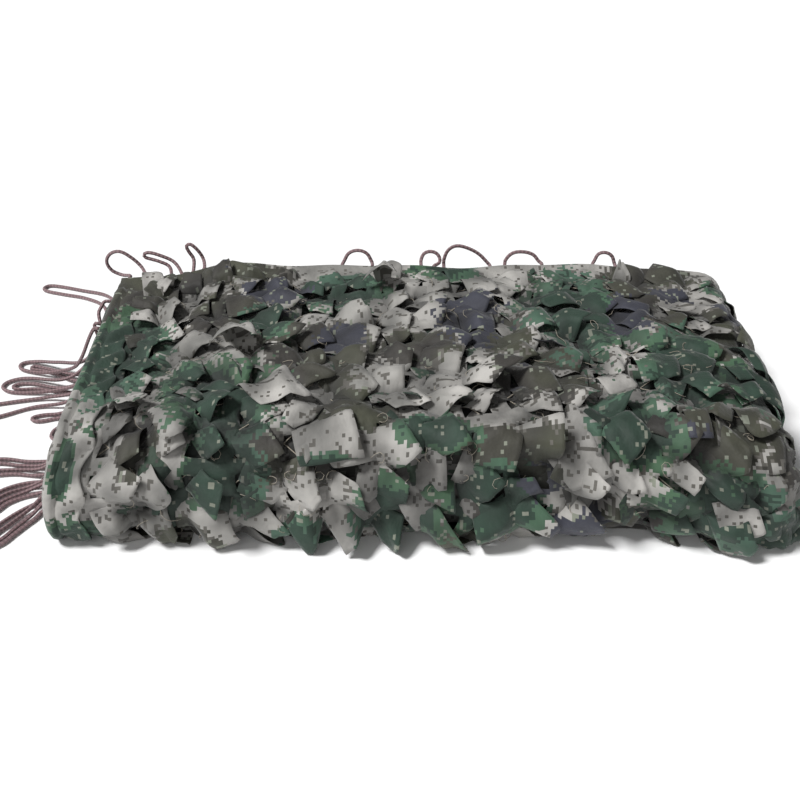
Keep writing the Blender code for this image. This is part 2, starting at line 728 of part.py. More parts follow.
def smooth_curve(points, fine=12):
    """A smooth curve through the points, in many small steps."""
    padded = [2 * points[0] - points[1], *points, 2 * points[-1] - points[-2]]
    curve = []
    for before, start, end, after in zip(padded, padded[1:], padded[2:], padded[3:]):
        long = (end - start).length
        slope_in = ((end - before) / max((end - before).length, 1e-6)) * long
        slope_out = ((after - start) / max((after - start).length, 1e-6)) * long
        for i in range(fine):
            t = i / fine
            curve.append(
                start * (2 * t**3 - 3 * t**2 + 1) + slope_in * (t**3 - 2 * t**2 + t)
                + end * (3 * t**2 - 2 * t**3) + slope_out * (t**3 - t**2)
            )
    return [*curve, points[-1]]


def even_steps(curve, step):
    """Points along the curve, about a step apart."""
    along = [0.0]
    for start, end in zip(curve, curve[1:]):
        along.append(along[-1] + (end - start).length)
    count = max(2, round(along[-1] / step))
    points = []
    for i in range(count + 1):
        target = along[-1] * i / count
        spot = min(max(bisect.bisect_right(along, target) - 1, 0), len(along) - 2)
        share = (target - along[spot]) / (along[spot + 1] - along[spot])
        points.append(curve[spot].lerp(curve[spot + 1], share))
    return points


def build_tie(name, start, middle, end, material):
    """One braided tie: a tube that leaves the pack and goes back into it."""
    (first, out), (last, back) = tie_end(start), tie_end(end)
    straight_out = 2 * CORD_DIAMETER
    route = [first + out * CORD_GAP, first + out * straight_out]
    route += [Vector(point) for point in middle]
    route += [last + back * straight_out, last + back * CORD_GAP]
    points = even_steps(smooth_curve(route), CORD_STEP * CORD_DIAMETER)
    curve = bpy.data.curves.new(name, "CURVE")
    curve.dimensions = "3D"
    curve.bevel_depth = CORD_DIAMETER / 2
    curve.bevel_resolution = 2
    curve.use_fill_caps = True
    spline = curve.splines.new("POLY")
    spline.points.add(len(points) - 1)
    for spot, point in zip(spline.points, points):
        spot.co = (*point, 1.0)
    return new_object(name, curve, material)


def main():
    for obj in list(bpy.data.objects):
        bpy.data.objects.remove(obj)
    cloth = new_material("camouflage_cloth", (0.30, 0.31, 0.28), 0.85)
    binding = new_material("binding_cloth", (0.34, 0.35, 0.31), 0.85)
    braid = new_material("tie_braid", (0.28, 0.19, 0.20), 0.75)
    build_cloth(cloth)
    build_side_binding(binding)
    build_hem_binding(binding)
    for name, start, middle, end in TIES:
        build_tie(name, start, middle, end, braid)


main()
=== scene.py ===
"""The looks of a folded camouflage net: leaf-cut garnish cloth, its backing mesh, the
sewn bindings and the braided border ties, on a plain stage.

Laid out as an add-on: the sizes and colours that one would change are properties, and
each group of pieces has its own operator. Sizes are in metres.
"""

import bisect
import math
import random

import bmesh
import bpy
from bpy.props import FloatProperty, FloatVectorProperty, IntProperty, PointerProperty
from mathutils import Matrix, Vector, noise


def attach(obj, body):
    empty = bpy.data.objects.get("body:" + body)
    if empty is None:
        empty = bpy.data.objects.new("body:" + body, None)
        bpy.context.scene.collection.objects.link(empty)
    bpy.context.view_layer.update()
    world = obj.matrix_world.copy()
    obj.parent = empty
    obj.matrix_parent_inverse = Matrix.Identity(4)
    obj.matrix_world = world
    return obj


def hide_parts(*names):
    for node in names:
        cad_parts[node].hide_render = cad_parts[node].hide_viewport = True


bl_info = {
    "name": "Folded camouflage net",
    "version": (1, 0, 0),
    "blender": (4, 5, 0),
    "location": "3D View > Sidebar > Net",
    "description": "Garnish cloth, backing mesh, bindings and ties of a folded net",
    "category": "Object",
}

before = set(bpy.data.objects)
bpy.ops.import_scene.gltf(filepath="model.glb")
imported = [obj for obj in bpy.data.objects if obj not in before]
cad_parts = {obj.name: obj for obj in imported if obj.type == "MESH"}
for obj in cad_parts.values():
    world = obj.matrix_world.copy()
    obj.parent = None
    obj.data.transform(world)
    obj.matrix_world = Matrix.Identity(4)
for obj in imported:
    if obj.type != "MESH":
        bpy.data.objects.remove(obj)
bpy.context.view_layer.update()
BODY = "root"

# ---- the pack ----
PACK_LEFT = -0.329  # the left edge of the top layer, inside its binding
PACK_BACK = 0.207
PACK_DEPTH = 0.375  # without the slump of the front
STACK_HEIGHT = 0.131  # without the lifted leaves
TURNS = 7  # nested turns, each with one upper and one lower layer
NET_THICKNESS = 0.003  # cloth with its cord mesh
FRONT_BULGE = 0.052  # how far the outermost turn stands before its straight runs
INNERMOST_BULGE = 0.008
OUTER_SQUARENESS = 2.4  # exponent of the outermost bend, 2 is round
HEM_SETBACK = 0.044  # from the free hem of the top layer to the back of the pack
BACK_UNEVEN = 0.011  # the bends at the back end in three depths

# ---- the slump of the front ----
FRONT_SLUMP = 0.018  # how much further forward the front reaches at the floor
SLUMP_CURVE = 1.5  # exponent of the slump from the top down
SLUMP_BACK = 0.041  # y where the slump starts
SLUMP_LENGTH = 0.16
CORNER_REACH = 0.020  # how much further forward the two lower corners reach
CORNER_START = 0.20  # from the middle of the pack
CORNER_LENGTH = 0.15
WAVE_AT_TOP = 0.4  # how much of the front's waves shows at its top

# ---- the height of the pack ----
DOME = 0.05  # how much higher the middle of the pack stands, as a share
DOME_WAVE = (3.6, 5.0)  # radians a metre along X and along Y
DOME_LEVEL = 0.6  # the dome's own height that counts as nought
LEFT_DROP = (0.10, 0.10, 0.08)  # share of the height, where it starts, over what length
RIGHT_DROP = (0.06, 0.12, 0.10)
END_MARGIN = 0.02  # outside this the ends are as high as at it

# ---- unevenness. Each wave is height, radians a metre and phase ----
LEFT_EDGE_WAVES = ((0.007, 11.0, 0.0), (0.004, 29.0, 1.0))
RIGHT_EDGE_WAVES = ((0.007, 7.0, 2.0),)
FRONT_WAVES = ((0.005, 12.0, 2.2), (0.004, 27.0, 0.0))
EDGE_WAVES_START = 0.1  # length over which the left edge's waves set in below the top
EDGE_WAVES_REACH = 0.2  # and how far into the cloth they reach
# Each wave of the top is a share of the height, radians a metre along X and Y, and phase.
TOP_WAVES = (
    (0.010, 13.0, 9.0, 1.0),
    (0.010, 13.0, -9.0, 0.2),
    (0.012, 31.0, 14.0, 0.0),
    (0.010, -17.0, 22.0, 0.0),
)
GATHERED_BY = 0.625  # share of the outer floor run by which the cloth is gathered

# ---- the right end, where the outer turn curls down over the stack ----
CURL_LENGTH = 0.052
CURL_RADIUS = 0.030
RIGHT_SETBACK = 0.030  # the inner layers end this much before the shoulder's edge
CURL_AT_FLOOR = 0.45  # how much of the curl is left at the floor
RIGHT_FLARE = 0.020  # how far the lower front corner on the right stands out
RIGHT_FLARE_LENGTH = 0.16
LEFT_FLARE = 0.010

# ---- the cut of the cloth ----
HOLE_WIDTH = 0.027
HOLE_LENGTH = 0.025
CELL_WIDTH = 0.0455
CELL_LENGTH = 0.0425
FIRST_HOLE = 0.014  # from the left edge to the first hole
LEAF_COLUMNS = 15
LEAF_ROWS = 11
SHOULDER_U = 0.671
CLOTH_WIDTH = SHOULDER_U + CURL_LENGTH
PACK_RIGHT = PACK_LEFT + SHOULDER_U + CURL_RADIUS

BINDING_WIDTH = 0.034
SEAM_GAP = 0.0005
CORD_GAP = 0.0009  # from a cord's end to the cloth that it comes out of
FINE_STEP = 0.002  # for measuring directions on the cloth
TINY = 1e-6  # lengths below this count as nought
LOWEST = 0.0008  # the least height above the floor
SCATTER = 0.006  # how far leaves and pinches stray from their rows
SEED = 23

# ---- the camera ----
CAMERA_PLACE = (-0.021, -1.125, 0.794)
CAMERA_DOWN = 33.0  # degrees below the horizon
CAMERA_LENS = 54.0  # mm on the sensor below
CAMERA_SENSOR = 36.0

# ---- the stage ----
# Each light: name, where it shines from towards the pack, softness in degrees, strength.
LIGHTS = (
    ("key", (-1.0, -0.35, 1.7), 16.0, 3.6),
    ("fill", (-0.4, -1.6, 0.8), 50.0, 0.60),
)
WORLD_LIGHT = 0.13
FLOOR_REACH = 12.0  # from the middle of the floor to its sides
FLOOR_ROUGHNESS = 0.9
FLOOR_GRAIN = 3.0  # a metre
FLOOR_DULLER = 0.99  # the duller spots of its grain


# ---- the fold ----


def smooth(value):
    """A soft step from 0 to 1 as the value goes from 0 to 1."""
    value = min(1.0, max(0.0, value))
    return value * value * (3 - 2 * value)


def between(start, end, share):
    return start + (end - start) * share


def wave_sum(waves, along):
    return sum(height * math.sin(rate * along + phase) for height, rate, phase in waves)


def ripples(waves, along, across):
    """The height at this place. Each wave is height, radians a metre each way and phase."""
    return sum(
        height * math.sin(rate * along + cross * across + phase)
        for height, rate, cross, phase in waves
    )


def straight(start, end, steps=12):
    return [tuple(between(a, b, i / steps) for a, b in zip(start, end)) for i in range(steps + 1)]


class Fold:
    """The fold seen from its end, as a line from the free hem at the top back inwards."""

    def __init__(self):
        self.points = []  # (y, z)
        self.elements = {}  # (name, turn): (first point, last point)
        self.pitch = (STACK_HEIGHT - NET_THICKNESS) / (2 * TURNS - 1)
        self.bend_y = PACK_BACK - PACK_DEPTH + FRONT_BULGE
        for turn in range(TURNS):
            self.add_turn(turn)
        self.along = [0.0]
        for start, end in zip(self.points, self.points[1:]):
            self.along.append(self.along[-1] + math.dist(start, end))

    def level(self, turn, upper):
        low = NET_THICKNESS / 2 + turn * self.pitch
        return STACK_HEIGHT - low if upper else low

    def back_of(self, turn):
        """Where the run that leaves this turn ends, before its bend at the back."""
        return PACK_BACK - self.pitch / 2 - BACK_UNEVEN * ((turn * 2) % 3)

    def add(self, name, turn, points):
        first = max(0, len(self.points) - 1)
        self.points += points[1:] if self.points else points
        self.elements[name, turn] = (first, len(self.points) - 1)

    def add_turn(self, turn):
        downwards = turn % 2 == 0
        enter, leave = self.level(turn, downwards), self.level(turn, not downwards)
        start = PACK_BACK - HEM_SETBACK if turn == 0 else self.back_of(turn - 1)
        self.add("enter", turn, straight((start, enter), (self.bend_y, enter)))
        bend = self.front_bend(turn)
        self.add("front", turn, bend if downwards else bend[::-1])
        self.add("leave", turn, straight((self.bend_y, leave), (self.back_of(turn), leave)))
        if turn + 1 < TURNS:
            self.add("back", turn, self.back_bend(turn, not downwards))

    def front_bend(self, turn, steps=32):
        """The nested bend at the front, from its upper to its lower end."""
        share = turn / (TURNS - 1)
        high = (self.level(turn, True) - self.level(turn, False)) / 2
        deep = between(FRONT_BULGE, INNERMOST_BULGE, share)
        power = 2 / between(OUTER_SQUARENESS, 2, share)
        points = []
        for step in range(steps + 1):
            angle = math.pi * (0.5 - step / steps)
            sine, cosine = math.sin(angle), max(0.0, math.cos(angle))
            rise = math.copysign(abs(sine) ** power, sine) * high
            points.append((self.bend_y - deep * cosine**power, STACK_HEIGHT / 2 + rise))
        return points

    def back_bend(self, turn, upper, steps=8):
        """The small bend at the back that leads on to the next turn."""
        start, end = self.level(turn, upper), self.level(turn + 1, upper)
        middle, radius = (start + end) / 2, (start - end) / 2
        points = []
        for step in range(steps + 1):
            angle = math.pi * step / steps
            reach = abs(radius) * math.sin(angle)
            points.append((self.back_of(turn) + reach, middle + radius * math.cos(angle)))
        return points

    def span(self, name, turn):
        first, last = self.elements[name, turn]
        return self.along[first], self.along[last]

    def at(self, s):
        """(y, z) at this distance along the cloth; before 0 it goes straight on."""
        spot = min(max(bisect.bisect_right(self.along, s) - 1, 0), len(self.along) - 2)
        share = (s - self.along[spot]) / (self.along[spot + 1] - self.along[spot])
        (y0, z0), (y1, z1) = self.points[spot], self.points[spot + 1]
        return between(y0, y1, share), between(z0, z1, share)

    def along_at_y(self, name, turn, y):
        """The distance along the cloth at which a straight run passes this y."""
        start, end = self.span(name, turn)
        y0, y1 = self.at(start)[0], self.at(end)[0]
        return between(start, end, (y - y0) / (y1 - y0))


FOLD = Fold()
TOP_RUN_END = FOLD.span("enter", 0)[1]
FRONT_END = FOLD.span("front", 0)[1]
OUTER_END = FOLD.span("leave", 0)[1]
CLOTH_LENGTH = FOLD.along[-1]


def outer_share(s):
    """1 on the top and front of the outer turn, falling to 0 along the floor."""
    return 1 - smooth((s - FRONT_END) / ((OUTER_END - FRONT_END) * GATHERED_BY))


def lower_share(s):
    """0 on the top, rising to 1 where the front meets the floor."""
    return smooth((s - TOP_RUN_END) / (FRONT_END - TOP_RUN_END))


def left_reach(s):
    """How far the left edge stands out at this point of the fold."""
    uneven = wave_sum(LEFT_EDGE_WAVES, s) * smooth((s - TOP_RUN_END) / EDGE_WAVES_START)
    low = 1 - FOLD.at(s)[1] / STACK_HEIGHT
    return uneven - LEFT_FLARE * low


def right_end(s):
    """How far right the inner layers reach at this point of the fold."""
    return PACK_RIGHT - RIGHT_SETBACK + wave_sum(RIGHT_EDGE_WAVES, s)


def place_x(u, s):
    """x before the right end curls down. The inner layers lie gathered."""
    start = PACK_LEFT + left_reach(s)
    if u < 0:
        return start + u
    outer = outer_share(s)
    reach = between(left_reach(s), 0, smooth(u / EDGE_WAVES_REACH))
    flat = PACK_LEFT + reach + min(u, SHOULDER_U)
    gathered = between(start, right_end(s), u / CLOTH_WIDTH)
    return between(gathered, flat, outer)


def end_drop(drop, inside):
    """The share by which the pack is lower at this distance inside one of its ends."""
    share, start, length = drop
    return share * smooth((start - inside) / length)


def height_scale(x, y):
    """The pack is domed, sinks towards its ends, and lies unevenly."""
    x = min(max(x, PACK_LEFT + END_MARGIN), PACK_RIGHT - END_MARGIN)
    dome = math.cos(DOME_WAVE[0] * x) * math.cos(DOME_WAVE[1] * y)
    scale = 1 + DOME * (dome - DOME_LEVEL)
    scale -= end_drop(LEFT_DROP, x - PACK_LEFT) + end_drop(RIGHT_DROP, PACK_RIGHT - x)
    for share, rate_x, rate_y, phase in TOP_WAVES:
        scale += share * math.sin(rate_x * x + rate_y * y + phase)
    return scale


def front_shift(x, y, z):
    """The front slumps towards the floor and waves along the pack."""
    x = min(max(x, PACK_LEFT + END_MARGIN), PACK_RIGHT)
    forward = smooth((SLUMP_BACK - y) / SLUMP_LENGTH)
    low = 1 - z / STACK_HEIGHT
    wave = wave_sum(FRONT_WAVES, x) * between(WAVE_AT_TOP, 1, low)
    corners = CORNER_REACH * smooth((abs(x) - CORNER_START) / CORNER_LENGTH)
    return -forward * (FRONT_SLUMP * low**SLUMP_CURVE + wave + corners * low)


def surface(u, s):
    """The point of the folded cloth that was at (u, s) when the cloth lay flat."""
    y, z = FOLD.at(s)
    x = place_x(u, s)
    outer, low = outer_share(s), lower_share(s)
    flare = smooth((u - SHOULDER_U + RIGHT_FLARE_LENGTH) / RIGHT_FLARE_LENGTH)
    x += RIGHT_FLARE * outer * low * flare
    over = max(0.0, u - SHOULDER_U) * outer
    if over > 0:
        turned = min(over / CURL_RADIUS, math.pi / 2) * between(1, CURL_AT_FLOOR, low)
        out = CURL_RADIUS * math.sin(turned)
        down = CURL_RADIUS * (1 - math.cos(turned)) + max(0, over - turned * CURL_RADIUS) * (1 - low)
        y0, z0 = FOLD.at(s - FINE_STEP / 2)
        y1, z1 = FOLD.at(s + FINE_STEP / 2)
        long = math.hypot(y1 - y0, z1 - z0)
        x, y, z = x + out, y - down * (z1 - z0) / long, z + down * (y1 - y0) / long
    raised = max(0.0, z - NET_THICKNESS / 2) * height_scale(x, y)
    return Vector((x, y + front_shift(x, y, z), NET_THICKNESS / 2 + raised))


def lifted(u, s, out):
    """The point this far outwards from the folded cloth, and not under the floor."""
    point = surface(u, s)
    if out:
        along_u = surface(u + FINE_STEP, s) - point
        along_s = surface(u, s + FINE_STEP) - point
        point += along_s.cross(along_u).normalized() * out
    point.z = max(point.z, LOWEST)
    return point


CRUMPLES = ((21.0, 0.0100), (55.0, 0.0040))  # how fine, per metre, and how high
CREASES = (28.0, 0.0060)
CREASE_PLACE = Vector((7.0, 3.0, 1.0))  # where in the noise the creases are taken from
CREASE_LEVEL = 0.25  # the noise that lifts the cloth by nothing
CRUMPLE_START = 0.03  # length over which the folds set in from the left edge and the hem


def crumple(u, s):
    """How far the outer turn stands out in soft folds and a few sharper creases."""
    spot = Vector((u, s, 0.0))
    out = sum(height * noise.noise(spot * fine) for fine, height in CRUMPLES)
    fine, height = CREASES
    out += height * (CREASE_LEVEL - abs(noise.noise(spot * fine + CREASE_PLACE)))
    return out * outer_share(s) * smooth(u / CRUMPLE_START) * smooth(s / CRUMPLE_START)


# Painted shade of the sheet: it is painted darker where it lies low, in its folds and at the pinches.
SHEET_SHADE = 0.62  # 1 is as light as the print, and 0 as dark as the inside of the pack
SHADE_HEIGHT = 0.010  # the height over which the sheet comes out of the dark
DARKEST_SHEET = 0.1


def painted_sheet_shade(height):
    """Painted shade: the sheet is darker in its hollows than on its ridges."""
    return min(1.0, max(DARKEST_SHEET, SHEET_SHADE + height / SHADE_HEIGHT))


# ---- sizes and colours that a user would change ----


def length_property(name, description, default, least, most):
    return FloatProperty(
        name=name, description=description, default=default, min=least, max=most,
        unit="LENGTH", subtype="DISTANCE",
    )


class NetSizes(bpy.types.PropertyGroup):
    """Sizes of the net's finer parts."""

    cloth_thickness: length_property(
        "Cloth thickness", "Thickness of the garnish cloth", 0.0006, 0.0002, 0.003)
    leaf_size: length_property("Leaf size", "Mean width of a leaf", 0.036, 0.02, 0.08)
    leaf_lift: FloatProperty(
        name="Leaf lift", description="How steeply a leaf leaves the cloth, at most",
        default=math.radians(30), min=0.0, max=math.radians(80), subtype="ANGLE",
    )
    camouflage_square: length_property(
        "Camouflage square", "Side of one printed square", 0.0032, 0.001, 0.02)
    cord_diameter: length_property(
        "Tie diameter", "Diameter of a braided tie", 0.0044, 0.001, 0.01)
    thread_diameter: length_property(
        "Thread diameter", "Diameter of the backing mesh's thread", 0.0011, 0.0003, 0.004)
    mesh_pitch: length_property(
        "Mesh pitch", "Side of one diamond of the backing mesh", 0.040, 0.01, 0.2)
    seed: IntProperty(name="Seed", description="Another seed lays the leaves anew", default=SEED)


def colour_property(name, description, default):
    return FloatVectorProperty(
        name=name, description=description, default=default, size=3, min=0.0, max=1.0,
        subtype="COLOR",
    )


class NetColours(bpy.types.PropertyGroup):
    """Colours of the print, the thread and the ties."""

    pale: colour_property("Pale grey", "Ground colour of the print", (0.43, 0.415, 0.39))
    pale_dull: colour_property("Dull grey", "Where the ground is duller", (0.22, 0.215, 0.20))
    taupe: colour_property("Taupe", "Rims of the dark shapes", (0.105, 0.098, 0.085))
    green: colour_property("Green", "Green of the print", (0.046, 0.104, 0.054))
    green_blue: colour_property("Bluish green", "Where the green is bluer", (0.052, 0.112, 0.076))
    green_dark: colour_property("Dark green", "Middle of the green shapes", (0.015, 0.040, 0.025))
    olive: colour_property("Olive", "Where the brown is greener", (0.050, 0.052, 0.032))
    brown: colour_property("Dark brown grey", "Dark shapes of the print", (0.036, 0.032, 0.027))
    slate: colour_property("Slate", "Bluish dark shapes", (0.036, 0.038, 0.055))
    speck: colour_property("Light specks", "Single light squares", (0.20, 0.215, 0.17))
    thread: colour_property("Thread", "Thread of the backing mesh", (0.30, 0.265, 0.21))
    tie: colour_property("Tie", "Lighter strands of the ties", (0.30, 0.19, 0.20))
    tie_dark: colour_property("Tie, dark", "Darker strands of the ties", (0.045, 0.030, 0.033))
    floor: colour_property("Floor", "Plain stage", (0.95, 0.95, 0.95))


# ---- materials ----


class Value:
    """A number or colour in a material. Arithmetic on a number adds Math nodes."""

    def __init__(self, finish, socket):
        self.finish = finish
        self.socket = socket

    def math(self, operation, *values):
        return self.finish.add("ShaderNodeMath", {"operation": operation}, list(values))

    def __add__(self, other):
        return self.math("ADD", self, other)

    __radd__ = __add__

    def __sub__(self, other):
        return self.math("SUBTRACT", self, other)

    def __rsub__(self, other):
        return self.math("SUBTRACT", other, self)

    def __mul__(self, other):
        return self.math("MULTIPLY", self, other)

    __rmul__ = __mul__

    def __gt__(self, other):
        return self.math("GREATER_THAN", self, other)

    def __lt__(self, other):
        return self.math("LESS_THAN", self, other)

    def at_least(self, other):
        return self.math("MAXIMUM", self, other)

    def sine(self):
        return self.math("SINE", self)


SHEEN_ROUGHNESS = 0.5
CLOTH_SHEEN = 0.15
CORD_SHEEN = 0.2


class Finish:
    """A material under construction."""

    def __init__(self, name, roughness, sheen=0.0):
        self.material = bpy.data.materials.new(name)
        self.material.use_nodes = True
        self.nodes = self.material.node_tree.nodes
        self.shader = self.nodes["Principled BSDF"]
        self.shader.inputs["Roughness"].default_value = roughness
        self.shader.inputs["Sheen Weight"].default_value = sheen
        self.shader.inputs["Sheen Roughness"].default_value = SHEEN_ROUGHNESS

    def connect(self, value, socket):
        if isinstance(value, Value):
            self.material.node_tree.links.new(value.socket, socket)
        elif socket.type == "RGBA":
            socket.default_value = (*value, 1.0)
        else:
            socket.default_value = value

    def add(self, kind, settings=None, sockets=(), output=0):
        """A node of this kind. Its settings come first, then what goes into its sockets."""
        node = self.nodes.new(kind)
        for name, value in (settings or {}).items():
            setattr(node, name, value)
        named = sockets.items() if isinstance(sockets, dict) else enumerate(sockets)
        for key, value in named:
            self.connect(value, node.inputs[key])
        return Value(self, node.outputs[output])

    def vector(self, operation, *values, output=0):
        return self.add("ShaderNodeVectorMath", {"operation": operation}, list(values), output)

    def mix(self, factor, first, second):
        """From the first colour to the second as the factor goes from 0 to 1."""
        return self.add(
            "ShaderNodeMix", {"data_type": "RGBA"}, {0: factor, 6: first, 7: second}, output=2
        )

    def noise(self, vector, scale, detail=1.0, roughness=0.5):
        sockets = {"Vector": vector, "Scale": scale, "Detail": detail, "Roughness": roughness}
        return self.add("ShaderNodeTexNoise", {}, sockets)

    def flat_map(self):
        """Where a point lay on the flat cloth, in metres."""
        return self.add("ShaderNodeUVMap", {"uv_map": "flat"})

    def parts(self, vector):
        """The first two numbers of a vector."""
        node = self.nodes.new("ShaderNodeSeparateXYZ")
        self.connect(vector, node.inputs[0])
        return Value(self, node.outputs[0]), Value(self, node.outputs[1])

    def bump(self, height, distance, strength, below=None):
        sockets = {"Height": height, "Distance": distance, "Strength": strength}
        if below:
            sockets["Normal"] = below
        return self.add("ShaderNodeBump", {}, sockets)

    def finish(self, colour, normal, roughness=None):
        self.connect(colour, self.shader.inputs["Base Color"])
        self.connect(normal, self.shader.inputs["Normal"])
        if roughness:
            self.connect(roughness, self.shader.inputs["Roughness"])
        return self.material


# The larger shapes of the print. Each row: where its middle lies on the flat cloth, from
# the left edge and from the free hem, and how far it reaches each way.
GREEN_SHAPES = (
    (0.24, 0.04, 0.06, 0.05),
    (0.12, 0.25, 0.07, 0.07),
    (0.00, 0.17, 0.05, 0.12),
    (0.51, 0.09, 0.07, 0.11),
    (0.61, 0.20, 0.05, 0.08),
    (0.69, 0.22, 0.05, 0.06),
    (0.30, 0.39, 0.05, 0.05),
    (0.40, 0.38, 0.06, 0.04),
    (0.34, 0.31, 0.04, 0.02),
    (0.54, 0.31, 0.05, 0.04),
    (0.61, 0.38, 0.06, 0.05),
    (0.69, 0.42, 0.05, 0.04),
    (0.13, 0.35, 0.04, 0.04),
    (-0.01, 0.43, 0.03, 0.04),
    (0.21, 0.42, 0.03, 0.03),
    (0.16, 0.11, 0.03, 0.04),
    (0.36, -0.02, 0.04, 0.03),
    (-0.02, 0.34, 0.010, 0.03),
    (0.68, 0.015, 0.02, 0.02),
)
BROWN_SHAPES = (
    (0.22, 0.18, 0.06, 0.06),
    (0.17, 0.33, 0.04, 0.03),
    (0.10, 0.42, 0.03, 0.02),
    (0.41, 0.33, 0.06, 0.02),
    (0.46, 0.23, 0.05, 0.05),
    (0.64, 0.12, 0.06, 0.06),
    (0.57, 0.04, 0.04, 0.06),
    (0.09, -0.01, 0.08, 0.03),
    (0.60, -0.01, 0.06, 0.03),
    (0.71, 0.31, 0.04, 0.05),
    (0.60, 0.43, 0.03, 0.03),
    (0.71, 0.00, 0.03, 0.03),
    (0.64, 0.20, 0.03, 0.02),
    (0.62, 0.31, 0.05, 0.04),
    (0.55, 0.42, 0.06, 0.04),
    (0.35, 0.43, 0.05, 0.03),
    (0.05, 0.32, 0.02, 0.03),
    (-0.01, 0.02, 0.06, 0.07),
    (0.11, 0.08, 0.05, 0.04),
    (0.42, 0.14, 0.03, 0.05),
    (0.33, 0.17, 0.04, 0.03),
    (0.26, 0.28, 0.04, 0.03),
)
SLATE_SHAPES = (
    (0.39, 0.10, 0.04, 0.07),
    (0.565, 0.09, 0.03, 0.05),
    (0.16, 0.04, 0.04, 0.03),
    (0.24, 0.15, 0.03, 0.03),
    (0.49, 0.42, 0.04, 0.03),
    (0.45, 0.36, 0.03, 0.02),
    (0.625, 0.035, 0.03, 0.02),
    (0.70, 0.06, 0.03, 0.02),
)
REPEAT = (-0.035, 0.445)  # the print starts again after this length of the cloth
FAR_OUTSIDE = -0.5  # the depth that counts for all that lies further outside an ink's shapes

# How an ink spreads from its shapes: where in the noise it starts, and how fine its broad
# and its small clusters are, a metre.
BROWN_CLUSTERS = (3.1, 13.0, 75.0)
GREEN_CLUSTERS = (7.7, 10.0, 65.0)
SLATE_CLUSTERS = (12.3, 15.0, 70.0)
CLUSTER_WEIGHTS = (1.2, 0.9, 0.24)  # of the broad ones, the small ones and single squares
# How strongly an ink has to claim a square before it is printed there.
TAUPE_FROM = 1.10
BROWN_FROM = 1.18
GREEN_FROM = 1.18
DARK_GREEN_FROM = 1.46
SLATE_FROM = 1.26
# How fine the drift between two inks of a colour is, a metre, and the noise that it spans.
PALE_DRIFT = 14.0
BROWN_DRIFT = 13.0
GREEN_DRIFT = 7.0
DRIFT_SPAN = (0.38, 0.62)
# Single squares: light ones in the dark shapes, and taupe ones on the pale ground.
SPOT_PLACE = (5.0, 1.0, 0.0)  # where in the noise they are taken from
SPOT_FINENESS = 80.0
SPOT_WEIGHTS = (0.8, 0.6)  # of the noise and of single squares
LIGHT_FROM = 1.03
TAUPE_UNDER = 0.43

# Dirt and painted shade: a noise that darkens the cloth in patches, for dirt and for the shading of
# soft folds.
DIRT_AND_SHADE_FINENESS = 26.0
DIRT_AND_SHADE_SPAN = (0.35, 0.6, 0.55, 1.0)  # this much noise, to this light
DIRT_AND_SHADE_DARKNESS = 0.86
WRINKLES = (45.0, 3.0, 0.55)  # how fine, a metre, how detailed and how rough
WRINKLE_BUMP = (0.006, 0.55)  # height and strength
WRINKLE_GLOSS = 0.2  # how much the wrinkles change the roughness
WEAVE_FINENESS = (9000.0, 9000.0, 0.0)  # radians a metre
WEAVE_BUMP = (0.0001, 0.25)
GARNISH_ROUGHNESS = 0.72
BINDING_ROUGHNESS = 0.75


def shapes(finish, square, rows):
    """How deep inside the nearest of these shapes a printed square lies."""
    inside = None
    for middle_u, middle_s, reach_u, reach_s in rows:
        offset = finish.vector("SUBTRACT", square, (middle_u, middle_s, 0.0))
        scaled = finish.vector("MULTIPLY", offset, (1 / reach_u, 1 / reach_s, 1.0))
        depth = 1 - finish.vector("LENGTH", scaled, output="Value")
        inside = depth if inside is None else inside.at_least(depth)
    return inside.at_least(FAR_OUTSIDE)


